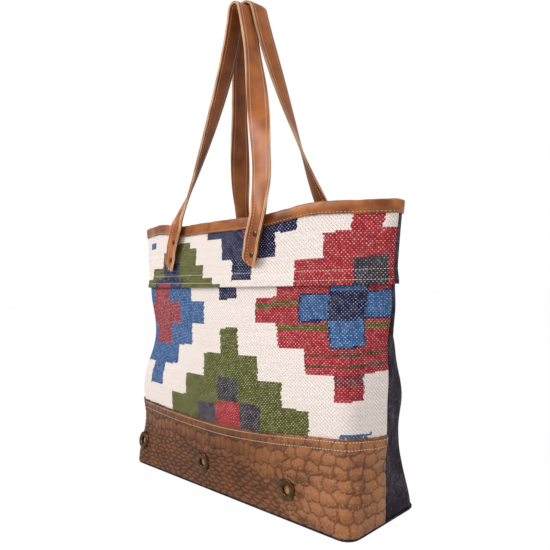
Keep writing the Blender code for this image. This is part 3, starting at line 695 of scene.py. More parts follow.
def kilim_panel(node, low, high, depth, fields, tilt, flare):
    """One panel of kilim cloth with its colour fields."""
    rows = round(float(high(np.zeros(1))[0] - low(np.zeros(1))[0]) * 1000 / BEAD_ROW)
    cloth_size = (GIRTH, rows * BEAD_ROW / 1000)
    place = panel_place(-1, low, high, depth, flare)
    piece = laid_grid(node + "_cloth", FRONT_COLUMNS, rows, place, cloth_size, [kilim])
    paint_cloth(piece, fields, tilt, lambda u, v: mix(low(u), high(u), v / cloth_size[1]))
    wall(piece, CLOTH)
    hand_in(piece, node)
    return piece, cloth_size


upper_cloth, upper_size = kilim_panel(
    "front_upper_panel", hem_line, rim_lines[-1], UPPER_DEPTH, UPPER_FIELDS, UPPER_TILT, True)
lower_cloth, lower_size = kilim_panel(
    "front_lower_panel", lambda u: leather_line(u) - LEATHER_LAP, lap_line, LOWER_DEPTH, LOWER_FIELDS,
    LOWER_TILT, False)
print("front panels, flat:", [round(v, 3) for v in upper_size + lower_size])

# %% [markdown]
# ## Back panels, bottom and lining
# The same grids, coarser, carry the canvas: nothing on it is finer than its twill, which is in the
# material. The bottom is a shallow dish of canvas whose edge turns up to the wall seam, and the lining is
# the same dish on tall walls. A dish is a grid laid round the bag and gathered to a point in the middle
# of the floor, where its last row is welded.

# %% Back panels
BACK_COLUMNS = 156
BACK_ROW_PITCH = 0.003


def back_panel(node, low, high, depth, flare, material):
    """One panel of canvas round the back, from side seam to side seam."""
    tall = float(high(np.zeros(1))[0] - low(np.zeros(1))[0])
    place = panel_place(1, low, high, depth, flare)
    piece = laid_grid(
        node + "_cloth", BACK_COLUMNS, round(tall / BACK_ROW_PITCH), place, (GIRTH, tall), [material])
    wall(piece, CLOTH)
    hand_in(piece, node)
    return piece, (GIRTH, tall)


back_upper, back_upper_size = back_panel(
    "back_upper_panel", hem_line, rim_lines[1], UPPER_DEPTH, True, canvas_band)
back_lower, back_lower_size = back_panel(
    "back_lower_panel", foot_line, lap_line, LOWER_DEPTH, False, canvas)
print("back panels, flat:", [round(v, 3) for v in back_upper_size + back_lower_size])

# %% Bottom and lining
def dish_place(depth, floor, rim_rows, curve_rows, floor_rows, wall_top=None):
    """place() for a dish, or for a bag where wall_top(u, face) is its top edge."""
    total = rim_rows + curve_rows + floor_rows
    radius = SEAM_HEIGHT - floor - (0 if wall_top else 3 * CLEARANCE)

    def place(a, b):
        row = np.rint(b * total)
        u, face = ring(a)
        turn = math.pi / 2 * np.clip((row - rim_rows) / curve_rows, 0, 1)
        inward = 1 - np.clip((row - rim_rows - curve_rows) / floor_rows, 0, 1)
        outward = skin_normal(u, np.full_like(u, SEAM_HEIGHT), face)
        outward[:, 2] = 0
        outward /= np.linalg.norm(outward, axis=1, keepdims=True)
        points = skin(u, SEAM_HEIGHT, face) - outward * (depth + radius * (1 - np.cos(turn)))[:, None]
        points[:, 2] = floor + radius * (1 - np.sin(turn))
        points[:, :2] *= inward[:, None]
        if wall_top:
            z = mix(wall_top(u, face), SEAM_HEIGHT, np.clip(row / rim_rows, 0, 1))
            on_wall = row < rim_rows
            points[on_wall] = layer_point(u, z, face, np.full_like(u, depth))[on_wall]
        return points

    return total, place


def dish(name, columns, tall, material, thickness, *shape):
    """Dish of cloth with its outer face down; shape goes to dish_place()."""
    rows, place = dish_place(*shape)
    piece = laid_grid(name, columns, rows, place, (2 * GIRTH, tall), [material], welded=True)
    with reshaped(piece) as builder:
        bmesh.ops.reverse_faces(builder, faces=builder.faces[:])
    wall(piece, thickness)
    return piece


bottom = dish("bottom_panel_cloth", 180, 0.075, canvas, CLOTH, CLEARANCE, 0.0, 0, 4, 12)
hand_in(bottom, "bottom_panel")
lining = dish(
    "lining_cloth", 240, 0.39, lining_cloth, LINING, LINING_DEPTH, CLOTH + CLEARANCE, 60, 4, 10, rim_line)
hand_in(lining, "lining")
print("bottom and lining faces:", len(bottom.data.polygons), len(lining.data.polygons))

# %% [markdown]
# ## Embossed leather base
# A crocodile press plate has broad, nearly square scales that break up into tall ones and into rows of
# flat ones. Cells round scattered points make such a skin: every spot belongs to its nearest point, and
# a groove runs where the two nearest points are equally far. The points stand in uneven rows: square
# scales at the right end, tall ones along the top and flat ones below. The grooves are real dents in a
# 1.1 mm grid.

# %% Scale pattern
SCALES = [  # brick, tall and square ones: width, height, shift of every second row, and unevenness
    (0.0120, 0.0050, 0.5, 0.13),
    (0.0100, 0.0170, 0.5, 0.12),
    (0.0170, 0.0120, 0.3, 0.13),
]
BRICK, TALL, SQUARE = range(3)
GROOVE_WIDTH = 0.0010
GROOVE_DEPTH = 0.00055
FAINT_GROOVE = 0.45
DOME_HEIGHT = 0.00030
DOME_REACH = 0.0040
SCALE_SHADE_REACH = 0.0013  # painted shade: a scale is lighter in its middle and darker towards its grooves
SCALE_LIGHT_LEAN = 0.0060  # and painted light: lighter towards its upper edge, as lit from above
SCALE_BAND = 0.11  # height that is filled with scales
ROW_WAVE = 0.0018  # how far a row of scales wanders up and down
FLATTENED = 0.85  # how round a scale's shape is taken before its sides are squashed


def scale_kind(s, h):
    """Kind of scale at a place: s along the leather and h up it, both in metres."""
    tall_from = 0.050 - 0.10 * np.clip(s + 0.02, 0, 0.2) + 0.004 * np.sin(s * 60)
    kind = np.where((h > tall_from) & (s > -0.165), TALL, BRICK)
    return np.where(s > 0.112 + 0.010 * np.sin(h * 90), SQUARE, kind)


def scale_points():
    """Points round which the scales form."""
    chance = np.random.default_rng(11)
    found = []
    for kind, (wide, tall, shift, uneven) in enumerate(SCALES):
        for row in range(int(SCALE_BAND / tall) + 1):
            for column in range(int(GIRTH / wide) + 3):
                s = (column + shift * (row % 2) - 1) * wide - HALF_GIRTH + wide * uneven * chance.normal()
                h = (row + 0.5) * tall + tall * uneven * chance.normal() + ROW_WAVE * math.sin(s * 55)
                if scale_kind(s, h) == kind:
                    found.append((s, h))
    return np.array(found)


scale_seeds = scale_points()
scale_squash = np.array([FLATTENED * tall / wide for wide, tall, _, _ in SCALES])


def from_groove(s, h):
    """Distance of each place from the nearest groove's middle, how strong that groove is, and the height
    of the place over the middle of its own scale.

    Distances along the leather are squashed where scales are long. Grooves that run along the leather
    are pressed deep, and those that run up it stay faint.
    """
    bent_s = s + 0.0008 * np.sin(560 * h + 2) + 0.0003 * np.sin(900 * h + 500 * s)
    bent_h = h + 0.0006 * np.sin(430 * s + 1) + 0.0003 * np.sin(800 * s - 500 * h)
    squash = scale_squash[scale_kind(s, h)]
    far, strong, above = np.empty((3, len(s)))
    for part in np.array_split(np.arange(len(s)), 40):
        aside = (scale_seeds[:, 0] - bent_s[part, None]) * squash[part, None]
        up = scale_seeds[:, 1] - bent_h[part, None]
        reach = np.hypot(aside, up)
        nearest = np.argpartition(reach, 1, axis=1)[:, :2]
        (near, next_near), (aside, next_aside), (up, next_up) = (
            np.take_along_axis(values, nearest, axis=1).T for values in (reach, aside, up))
        far[part] = (next_near - near) / 2
        level = np.abs(next_up - up) / np.hypot(next_aside - aside, next_up - up)
        strong[part] = FAINT_GROOVE + (1 - FAINT_GROOVE) * level ** 1.5
        above[part] = -up
    return far, strong, above


print("scales:", len(scale_seeds))

# %% Base leather
LEATHER_COLUMNS = 428
LEATHER_ROWS = 80
LEATHER_TALL = 0.084
EYELET_HEIGHT = 0.032
EYELET_FIRST_X = -0.1655
EYELET_SPACING = 0.1350
EYELET_COUNT = 3
EYELET_RADIUS = 0.0110
EYELET_HOLE_RADIUS = 0.0047
EYELET_BARREL_RADIUS = 0.0060
EYELET_DOME = 0.0017


def leather_relief(a, b):
    """Height of the emboss, lowest in the grooves and highest in the middle of each scale."""
    far, strong, _ = from_groove((a - 0.5) * GIRTH, b * LEATHER_TALL)
    low = GROOVE_DEPTH * (smooth(far / GROOVE_WIDTH) - 1)
    return strong * (low + DOME_HEIGHT * (smooth(far / DOME_REACH) - 1))


def u_at(x, z):
    """Value of u where the surface at height z has the given x."""
    x, z = np.broadcast_arrays(np.asarray(x, float), np.asarray(z, float))
    low, high = np.full(x.shape, -1.0), np.full(x.shape, 1.0)
    for _ in range(40):
        middle = (low + high) / 2
        under = skin(middle, z, -1)[..., 0] < x
        low, high = np.where(under, middle, low), np.where(under, high, middle)
    return (low + high) / 2


def frame_on(point, normal):
    """Frame whose Z is the normal at a point."""
    turn = Vector((0, 0, 1)).rotation_difference(Vector(normal))
    return Matrix.Translation(Vector(point)) @ turn.to_matrix().to_4x4()


eyelet_x = EYELET_FIRST_X + EYELET_SPACING * np.arange(EYELET_COUNT)
eyelet_u = u_at(eyelet_x, EYELET_HEIGHT)
eyelet_points = layer_point(eyelet_u, EYELET_HEIGHT, np.full(EYELET_COUNT, -1.0), np.zeros(EYELET_COUNT))
eyelet_normals = skin_normal(eyelet_u, EYELET_HEIGHT, np.full(EYELET_COUNT, -1.0))

leather_place = panel_place(-1, foot_line, leather_line, 0.0, relief=leather_relief)
leather = laid_grid(
    "base_leather_hide", LEATHER_COLUMNS, LEATHER_ROWS, leather_place, (GIRTH, LEATHER_TALL), [embossed])
flat = np.empty(len(leather.data.loops) * 2, np.float32)
leather.data.uv_layers["cloth"].data.foreach_get("uv", flat)
corner = np.empty(len(leather.data.loops), np.int32)
leather.data.loops.foreach_get("vertex_index", corner)
cloth = np.empty((len(leather.data.vertices), 2))
cloth[corner] = flat.reshape(-1, 2)
far, strong, above = from_groove(cloth[:, 0] - HALF_GIRTH, cloth[:, 1])
tops = 1 - strong * (1 - smooth(far / GROOVE_WIDTH))
# Painted light and shade on each scale: lighter in its middle than at its grooves, and lighter towards its
# upper edge, as if lit from above.
scale_light_and_shade = (0.50 + 0.50 * smooth(far / SCALE_SHADE_REACH)) * (0.62 + 0.38 * smooth(above / SCALE_LIGHT_LEAN + 0.5))
for name, values in (("scale_top", tops), ("scale_rubbed", scale_light_and_shade)):
    layer = leather.data.attributes.new(name, "FLOAT", "POINT")
    layer.data.foreach_set("value", values.astype(np.float32))

with reshaped(leather) as builder:
    holes = [
        face for face in builder.faces
        if any((face.calc_center_median() - Vector(p)).length < EYELET_BARREL_RADIUS for p in eyelet_points)]
    cut_faces = len(holes)
    bmesh.ops.delete(builder, geom=holes, context="FACES")
wall(leather, LEATHER)
hand_in(leather, "base_leather")

backing_place = panel_place(-1, foot_line, lambda u: leather_line(u) - LEATHER_LAP - CLEARANCE, LOWER_DEPTH)
backing = laid_grid("base_backing_hide", 156, 24, backing_place, (GIRTH, 0.07), [backing_leather])
wall(backing, CLOTH)
hand_in(backing, "base_backing")
print("faces cut for eyelets:", cut_faces)

# %% [markdown]
# ## Rim binding
# A strip of leather is folded over the raw edge of all layers and sewn through. Its section is a narrow
# arch, and it is swept along the rim by a grid laid round the mouth. A hand-folded strip is never quite
# even, so its width and height wander by a few tenths of a millimetre.

# %% Binding
BINDING_WANDER = 0.0004


def binding_section(b):
    """Depth under the surface and lift over the rim, round the section of the folded strip."""
    outer = UPPER_DEPTH - CLEARANCE - BINDING
    inner = LINING_INNER + CLEARANCE + BINDING
    middle, half = (outer + inner) / 2, (inner - outer) / 2
    arch = np.linspace(0, math.pi, 9)
    depths = [outer, outer] + list(middle - half * np.cos(arch[1:-1])) + [inner, inner]
    lifts = [-BINDING_HEIGHT, BINDING / 2] + list(BINDING / 2 + 1.5 * BINDING * np.sin(arch[1:-1]))
    lifts += [BINDING / 2, -BINDING_HEIGHT]
    depths += [inner - BINDING, inner - BINDING, outer + BINDING, outer + BINDING, outer]
    lifts += [-BINDING_HEIGHT, CLEARANCE, CLEARANCE, -BINDING_HEIGHT, -BINDING_HEIGHT]
    knots = np.linspace(0, 1, len(depths))
    return np.interp(b, knots, depths), np.interp(b, knots, lifts)


def binding_place(a, b):
    """Corner of the binding's grid: a runs round the mouth and b round the section."""
    u, face = ring(a)
    depth, lift = binding_section(b)
    run = a * 2 * math.pi
    wander = np.sin(37 * run) + np.sin(61 * run + 1) + np.sin(23 * run + 2)
    depth = np.where(depth < 0, depth - BINDING_WANDER * 0.2 * (wander + 1), depth)
    lift = np.where(lift < -CLEARANCE, lift + BINDING_WANDER * 0.5 * wander, lift)
    points = layer_point(u, rim_line(u, face) + np.minimum(lift, 0), face, depth)
    points[:, 2] += np.maximum(lift, 0) + np.where(lift > BINDING, BINDING_WANDER * 0.25 * wander, 0)
    return points


binding = laid_grid("top_binding_hide", 480, 26, binding_place, (2 * GIRTH, 0.03), [rim_leather], welded=True)
hand_in(binding, "top_binding")
print("binding faces:", len(binding.data.polygons))

# %% [markdown]
# ## Strap handles
# Each handle is one long band of two leather plies. It lies flat on the front or the back at both ends,
# climbs in a smooth curve, turns a quarter round its own length and goes over the top in a tight loop.
# The path is a list of stations with a place and an outward direction. A rounded section is then laid at
# each station, with pale raw edges and a shallow gutter along each row of stitches.

# %% Path of the handles
STRAP_WIDTH = 0.0250
STRAP_PLY = 0.0015
STRAP_TAPER = 0.012
HANDLE_HALF_SPACING = 0.0731
TAB_TIP_HEIGHT = 0.0520
STRAP_STEP_TOP = 0.0250
STRAP_STEP_LENGTH = 0.0110
APEX_HEIGHT = 0.582
FRONT_LOOP_RADIUS = 0.0085
BACK_LOOP_RADIUS = 0.0145
LOOP_OFFSET = 0.0085
LOOP_SHIFT = 0.006
LOOP_START_ANGLE = math.radians(12.7)
TAB_LEAN = {("front", -1): -0.024, ("front", 1): -0.014, ("back", -1): -0.010, ("back", 1): 0.010}
TWIST_MIDDLE = {("front", -1): 0.40, ("front", 1): 0.60, ("back", -1): 0.42, ("back", 1): 0.41}
TWIST_HALF_LENGTH = {("front", -1): 0.62, ("front", 1): 0.24, ("back", -1): 0.24, ("back", 1): 0.45}
TWIST_EASE = 0.12
FACE_SIGN = {"front": -1.0, "back": 1.0}
LEG_START_PULL = 0.25
LEG_STEP = 0.01
TAB_STATIONS, LEG_STATIONS, LOOP_STATIONS = 20, 64, 20
CURL_RADIUS = {("front", -1): 0.016, ("front", 1): 0.0085, ("back", -1): 0.014, ("back", 1): 0.014}
CURL_END = 0.35  # share of the free leg over which the curl dies out


def strap_stand(drop):
    """Distance of the strap's middle from the outer surface, at a depth below the rim."""
    on_band = CLEARANCE - UPPER_DEPTH + CLEARANCE / 2 + STRAP_PLY
    on_binding = on_band + BINDING + 2 * CLEARANCE
    return mix(on_binding, on_band, smooth((drop - STRAP_STEP_TOP) / STRAP_STEP_LENGTH))


def tab_frames(handle, side, t):
    """Places and outward normals on the sewn tab, from its tip at t = 0 to the rim at t = 1."""
    t = np.atleast_1d(np.asarray(t, float))
    face = np.full_like(t, FACE_SIGN[handle])
    rim_x = side * HANDLE_HALF_SPACING
    rim = rim_line(u_at(rim_x, RIM_HEIGHT), FACE_SIGN[handle])
    z = rim - TAB_TIP_HEIGHT * (1 - t)
    u = u_at(rim_x + TAB_LEAN[handle, side] * (1 - t), z)
    normal = skin_normal(u, z, face)
    return skin(u, z, face) + normal * strap_stand(rim - z)[:, None], normal


def loop_frames(handle, side, t):
    """Places, directions and normals on the half loop, from its foot at t = 0 to the apex at t = 1."""
    radius = FRONT_LOOP_RADIUS if handle == "front" else BACK_LOOP_RADIUS
    turn = mix(LOOP_START_ANGLE, math.pi / 2, np.atleast_1d(np.asarray(t, float)))
    none = np.zeros_like(turn)
    outward = np.stack([side * np.cos(turn), none, np.sin(turn)], 1)
    onward = np.stack([-side * np.sin(turn), none, np.cos(turn)], 1)
    centre_z = APEX_HEIGHT - BACK_LOOP_RADIUS - STRAP_PLY - CLEARANCE / 2
    centre = np.array([LOOP_SHIFT, FACE_SIGN[handle] * LOOP_OFFSET, centre_z])
    return centre + outward * radius, onward, outward


def leg_points(handle, side, t):
    """Places on the free leg, a smooth curve from the rim to the foot of the loop."""
    start, below = tab_frames(handle, side, [1.0, 1.0 - LEG_STEP])[0]
    end, end_way, _ = (found[0] for found in loop_frames(handle, side, 0.0))
    reach = np.linalg.norm(end - start)
    start_way = (start - below) / np.linalg.norm(start - below) * reach * LEG_START_PULL
    t = np.asarray(t, float)[:, None]
    a, b = 2 * t ** 3 - 3 * t ** 2 + 1, t ** 3 - 2 * t ** 2 + t
    c, d = 3 * t ** 2 - 2 * t ** 3, t ** 3 - t ** 2
    return start * a + start_way * b + end * c + end_way * reach * d


def leg_normals(handle, side, t):
    """Outward normals of the free leg, turned a quarter from the panel's face to the loop's face."""
    first = tab_frames(handle, side, 1.0)[1][0] * np.array([1, 1, 0])
    middle, half = TWIST_MIDDLE[handle, side], TWIST_HALF_LENGTH[handle, side]
    turn = (math.pi / 2 * smooth((t - middle + half) / (2 * half)) * smooth(t / TWIST_EASE))[:, None]
    along = leg_points(handle, side, t + LEG_STEP) - leg_points(handle, side, t - LEG_STEP)
    along /= np.linalg.norm(along, axis=1, keepdims=True)
    outward = first / np.linalg.norm(first) * np.cos(turn) + np.array([side, 0, 0]) * np.sin(turn)
    outward -= along * (outward * along).sum(1, keepdims=True)
    return outward / np.linalg.norm(outward, axis=1, keepdims=True)


def strap_stations(handle):
    """Places, outward normals, across directions, runs and curl, from the left tab's tip to the right's."""
    halves = []
    for side in (-1, 1):
        tab = tab_frames(handle, side, np.arange(TAB_STATIONS) / TAB_STATIONS)
        t = np.arange(LEG_STATIONS) / LEG_STATIONS
        loop = loop_frames(handle, side, np.arange(LOOP_STATIONS + 1) / LOOP_STATIONS)
        points = np.concatenate([tab[0], leg_points(handle, side, t), loop[0]])
        normals = np.concatenate([tab[1], leg_normals(handle, side, t), loop[2]])
        curl = np.concatenate([np.ones(TAB_STATIONS), 1 - smooth(t / CURL_END), np.zeros(LOOP_STATIONS + 1)])
        halves.append((points, normals, curl / CURL_RADIUS[handle, side]))
    points, normals, curl = (np.concatenate([left, right[-2::-1]]) for left, right in zip(*halves))
    along = np.gradient(points, axis=0)
    along /= np.linalg.norm(along, axis=1, keepdims=True)
    across = np.cross(along, normals)
    across /= np.linalg.norm(across, axis=1, keepdims=True)
    runs = np.concatenate([[0], np.cumsum(np.linalg.norm(np.diff(points, axis=0), axis=1))])
    return points, normals, across, runs, np.maximum(curl, 0.001)


def curled(handle, i, aside, level):
    """Places and normals at stations i of a strap, which curls up into a channel near its tabs."""
    points, normals, across, _, curl = straps[handle]
    radius = (1 / curl[i])[:, None]
    turn = (aside * curl[i])[:, None]
    from_axis = radius - np.reshape(level, (-1, 1))
    place = points[i] + across[i] * from_axis * np.sin(turn)
    place = place + normals[i] * (radius - from_axis * np.cos(turn))
    return place, normals[i] * np.cos(turn) - across[i] * np.sin(turn)


straps = {handle: strap_stations(handle) for handle in FACE_SIGN}
print("strap lengths:", {handle: round(found[3][-1], 3) for handle, found in straps.items()})

# %% Plies of the handles
EDGE_ROUND = 0.0004
STITCH_INSET = 0.0040
PLY_GIRTH = 0.053  # height of a ply's UV map, once round its section


def half_widths(runs):
    """Half width of the strap at each station, which narrows to a rounded point at its tips."""
    from_tip = np.minimum(runs, runs[-1] - runs)
    share = np.clip(from_tip / STRAP_TAPER, 0, 1)
    return STRAP_WIDTH / 2 * np.maximum(np.sqrt(1 - (1 - share) ** 2), 0.3)


def ply_section():
    """Section of a ply: share of the half width, offset outward and height, all the way round."""
    gutter = 1 - STITCH_INSET / (STRAP_WIDTH / 2)
    top = [(-1, 0, -0.25), (-gutter, 0, -0.14), (0.06 - gutter, 0, 0), (0, 0, 0.08), (gutter - 0.06, 0, 0),
           (gutter, 0, -0.14), (1, 0, -0.25)]
    section = [(share, out, height / 1000) for share, out, height in top]
    r, ply, sink = EDGE_ROUND, STRAP_PLY, 0.00025
    turns = [math.radians(turn) for turn in (30, 60, 90)]
    section += [(1, r * math.sin(k), -sink - r + r * math.cos(k)) for k in turns]
    section += [(1, r * math.cos(k), -ply + r - r * math.sin(k)) for k in [0] + turns]
    section += [(share, 0, -ply) for share in (0.5, 0, -0.5, -1)]
    section += [(-1, -r * math.sin(k), -ply + r - r * math.cos(k)) for k in turns]
    section += [(-1, -r * math.cos(k), -sink - r + r * math.sin(k)) for k in [0] + turns[:2]]
    return np.array(section)


def strap_ply(handle, ply, level, turned, material):
    """One ply of a handle with its outer face at a level over the strap's middle."""
    runs = straps[handle][3]
    half = half_widths(runs)
    section = ply_section()
    if turned:
        section = section * np.array([1, 1, -1]) - np.array([0, 0, STRAP_PLY])
        section = section[::-1]
    count, stations = len(section), len(runs)

    def place(a, b):
        i = np.rint(a * (stations - 1)).astype(int)
        j = np.rint(b * count).astype(int) % count
        share, out, height = section[j].T
        aside = share * (half[i] - EDGE_ROUND) + out
        return curled(handle, i, aside, level + height)[0]

    node = f"{handle}_handle_{ply}"
    cloth_size = (runs[-1], PLY_GIRTH)
    piece = laid_grid(node + "_hide", stations - 1, count, place, cloth_size, [material, raw_edge], True)
    builder = bmesh.new()
    builder.from_mesh(piece.data)
    open_ends = [edge for edge in builder.edges if edge.is_boundary]
    bmesh.ops.holes_fill(builder, edges=open_ends, sides=0)
    bmesh.ops.recalc_face_normals(builder, faces=builder.faces[:])
    ends = [face for face in builder.faces if len(face.verts) > 4]
    for face in ends:
        face.material_index = 1
    builder.to_mesh(piece.data)
    builder.free()
    return piece, section


def pale_edges(piece, section):
    """Gives the faces along a ply's two cut edges the raw leather."""
    count = len(section)
    share = section[:, 0]
    on_edge = [share[j] == share[(j + 1) % count] for j in range(count)]
    uv = piece.data.uv_layers["cloth"].data
    for face in piece.data.polygons:
        if len(face.vertices) != 4:
            continue
        b = sum(uv[k].uv[1] for k in face.loop_indices) / 4 / PLY_GIRTH
        face.material_index = int(on_edge[min(int(b * count), count - 1)])


def make_ply(handle, ply, level, turned, material):
    """One ply with its pale edges, set on the body in place of its node of the frame."""
    piece, section = strap_ply(handle, ply, level, turned, material)
    pale_edges(piece, section)
    hand_in(piece, f"{handle}_handle_{ply}")
    return piece


plies = {}
for handle in FACE_SIGN:
    plies[handle, "outer"] = make_ply(
        handle, "outer", STRAP_PLY + CLEARANCE / 2, False, strap_leather)
    plies[handle, "inner"] = make_ply(handle, "inner", -CLEARANCE / 2, True, strap_inner_shaded)
print("ply faces:", {key: len(piece.data.polygons) for key, piece in plies.items()})

# %% [markdown]
# ## Rivets and eyelets
# Both are turned shapes, so a half outline is spun about its axis with bmesh. The rivet heads are low
# domes over the tabs, and the eyelets are rolled rings with a short barrel through the leather.

# %% Rivets and eyelets
RIVET_HEAD_RADIUS = 0.0034
RIVET_HEAD_HEIGHT = 0.0016
RIVET_POST_RADIUS = 0.0015
RIVET_CAP_RADIUS = 0.0030
RIVET_CAP_HEIGHT = 0.0010
RIVET_CAP_CLEARANCE = 0.0009
RIVET_DISTANCES = (0.012, 0.034)


def spun(name, profile, steps, place, closed):
    """Turned piece from a profile of radius and height."""
    builder = bmesh.new()
    verts = [builder.verts.new((radius, 0, height)) for radius, height in profile]
    edges = [builder.edges.new(pair) for pair in zip(verts, verts[1:])]
    if closed:
        edges.append(builder.edges.new((verts[-1], verts[0])))
    bmesh.ops.spin(
        builder, geom=verts + edges, cent=(0, 0, 0), axis=(0, 0, 1), angle=2 * math.pi, steps=steps,
        use_merge=True)
    bmesh.ops.remove_doubles(builder, verts=builder.verts[:], dist=0.000002)
    bmesh.ops.recalc_face_normals(builder, faces=builder.faces[:])
    bmesh.ops.transform(builder, matrix=place, verts=builder.verts[:])
    return made_from(name, builder, [brass])


def rivet_profile(post):
    """Domed head with a rolled edge, post and flat cap inside."""
    dome = [(RIVET_HEAD_RADIUS * math.sin(k), CLEARANCE + RIVET_HEAD_HEIGHT * (0.35 + 0.65 * math.cos(k)))
            for k in np.linspace(0, math.pi / 2, 8)]
    bottom = -post - RIVET_CAP_HEIGHT
    return dome + [
        (RIVET_HEAD_RADIUS * 0.97, CLEARANCE), (RIVET_POST_RADIUS, CLEARANCE), (RIVET_POST_RADIUS, -post),
        (RIVET_CAP_RADIUS, -post), (RIVET_CAP_RADIUS, bottom), (0, bottom)]


for handle in FACE_SIGN:
    for side, side_name in ((-1, "left"), (1, "right")):
        for distance, row_name in zip(RIVET_DISTANCES, ("lower", "upper")):
            t = distance / TAB_TIP_HEIGHT
            point, normal = (found[0] for found in tab_frames(handle, side, t))
            face_level = STRAP_PLY + CLEARANCE / 2
            post = float(strap_stand(TAB_TIP_HEIGHT * (1 - t)))
            post += face_level + LINING_INNER + RIVET_CAP_CLEARANCE
            node = f"{handle}_rivet_{side_name}_{row_name}"
            rivet = spun(
                node + "_brass", rivet_profile(post), 24, frame_on(point + normal * face_level, normal), False)
            hand_in(rivet, node)

ROLL = (EYELET_RADIUS - EYELET_HOLE_RADIUS) / 2
ring_profile = [(EYELET_HOLE_RADIUS, -LEATHER)]
for k in np.linspace(math.pi, 0, 11):
    bulge = 0.25 + 0.75 * math.sin(k) ** 0.7
    ring_profile.append((EYELET_HOLE_RADIUS + ROLL + ROLL * math.cos(k), CLEARANCE + EYELET_DOME * bulge))
ring_profile += [
    (EYELET_RADIUS, CLEARANCE), (EYELET_BARREL_RADIUS, CLEARANCE), (EYELET_BARREL_RADIUS, -LEATHER)]
for name, point, normal in zip(("left", "middle", "right"), eyelet_points, eyelet_normals):
    eyelet = spun(f"eyelet_{name}_brass", ring_profile, 40, frame_on(point, normal), True)
    hand_in(eyelet, "eyelet_" + name)
print("rivets and eyelets made")

# %% [markdown]
# ## Stitches
# A saddle or lock stitch shows as a row of short capsules, each lying in the groove that its thread has
# pulled. One stitch is a small stretched ball of a few dozen faces. The rows follow the pieces that they
# hold, so each row is a list of points on a surface with the way out of it, walked at an even pitch.

# %% Stitches
STITCH_PITCH = 0.0034
STITCH_LENGTH = 0.0024
STITCH_RADIUS = 0.00033


def stitch_row(builder, points, normals, pitch=STITCH_PITCH, lift=0.0001):
    """Adds stitches along a line of points on a surface, a few dozen at a time, which is much faster."""
    runs = np.concatenate([[0], np.cumsum(np.linalg.norm(np.diff(points, axis=0), axis=1))])
    centres = np.arange(pitch / 2, runs[-1], pitch)
    batch = bmesh.new()
    for number, centre in enumerate(centres):
        start, middle, end = (
            np.array([np.interp(centre + step, runs, points[:, k]) for k in range(3)])
            for step in (-STITCH_LENGTH / 2, 0, STITCH_LENGTH / 2))
        out = np.array([np.interp(centre, runs, normals[:, k]) for k in range(3)])
        along = Vector(end - start).normalized()
        side = along.cross(Vector(out)).normalized()
        up = side.cross(along)
        turn = Matrix((side, up, along)).transposed().to_4x4()
        size = Matrix.Diagonal((STITCH_RADIUS, STITCH_RADIUS * 0.8, STITCH_LENGTH / 2, 1))
        place = Matrix.Translation(Vector(middle) + up * lift) @ turn @ size
        bmesh.ops.create_uvsphere(batch, u_segments=6, v_segments=4, radius=1.0, matrix=place)
        if number % 30 == 29 or number == len(centres) - 1:
            carried = bpy.data.meshes.new("stitches")
            batch.to_mesh(carried)
            batch.clear()
            builder.from_mesh(carried)
            bpy.data.meshes.remove(carried)
    batch.free()
    return len(centres)


def stitched(name, rows, material, pitch=STITCH_PITCH):
    """One piece from several rows of stitches."""
    builder = bmesh.new()
    count = sum(stitch_row(builder, points, normals, pitch) for points, normals in rows)
    made = made_from(name, builder, [material])
    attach(made, "root")
    return made, count


def body_row(face, height, depth, span=0.985):
    """Row of points along the front or the back at a height given by u."""
    u = np.linspace(-span, span, 400)
    z = height(u)
    under = depth(u, z)
    return layer_point(u, z, np.full_like(u, face), under), skin_normal(u, z, np.full_like(u, face))


def band_face(u, z):
    return UPPER_DEPTH - hem_flare(z) + 0 * u


HEM_ROWS = (0.0050, 0.0148)
LEATHER_ROWS_DOWN = (0.0028, 0.0105)

hem_rows = [body_row(face, level_line(HEM_HEIGHT + up), band_face) for face in (-1, 1) for up in HEM_ROWS]
hem_stitches, hem_count = stitched("hem_stitches", hem_rows, cream_thread)
foot_rows = [
    body_row(-1, lambda u, down=down: leather_line(u) - down, lambda u, z: 0 * u) for down in LEATHER_ROWS_DOWN]
foot_stitches, foot_count = stitched("leather_base_stitches", foot_rows, cream_thread)
rim_rows = [
    body_row(
        face, lambda u, face=face: rim_line(u, face) - BINDING_HEIGHT + 0.0018,
        lambda u, z: UPPER_DEPTH - CLEARANCE - BINDING + 0 * u, 0.995)
    for face in (-1, 1)]
rim_stitches, rim_count = stitched("rim_stitches", rim_rows, tan_thread, 0.0040)
print("stitches in hem, base and rim:", hem_count, foot_count, rim_count)

# %% Strap stitches


def strap_rows(handle):
    """Four rows of stitches: along both edges, outside and inside."""
    runs = straps[handle][3]
    aside = np.maximum(half_widths(runs) - STITCH_INSET, 0.0012)
    every = np.arange(len(runs))
    free = every[TAB_STATIONS + 2:-TAB_STATIONS - 2]
    level = STRAP_PLY + CLEARANCE / 2 - 0.00008
    found = []
    for side in (-1, 1):
        found.append(curled(handle, every, side * aside, level))
        points, normals = curled(handle, free, side * aside[free], -level)
        found.append((points, -normals))
    return found


for handle in FACE_SIGN:
    made, count = stitched(handle + "_handle_stitches", strap_rows(handle), cream_thread)
    print(handle, "handle stitches:", count)

# %% [markdown]
# ## Cloth as cut
# The size that a cloth panel was cut to is its finished size and a centimetre of turning on each sewn edge.
# The front panels' cut sizes are printed.

TURNING = 0.010


def cut_size(size):
    """Finished size with its turnings."""
    return (size[0] + 2 * TURNING, size[1] + TURNING)


print("cut sizes:", [round(v, 3) for v in cut_size(upper_size) + cut_size(lower_size)])

# %% [markdown]
# ## Floor, light and camera
# The bag stands on a pale floor in a soft, even studio light: a large lamp high at the front left, which
# the bright front faces, a weaker one from the right, and a grey world that fills the shadows. The floor
# and the world look white to the camera. The camera stands level with the bag, 45 degrees to its right,
# and is rolled by not quite two degrees.

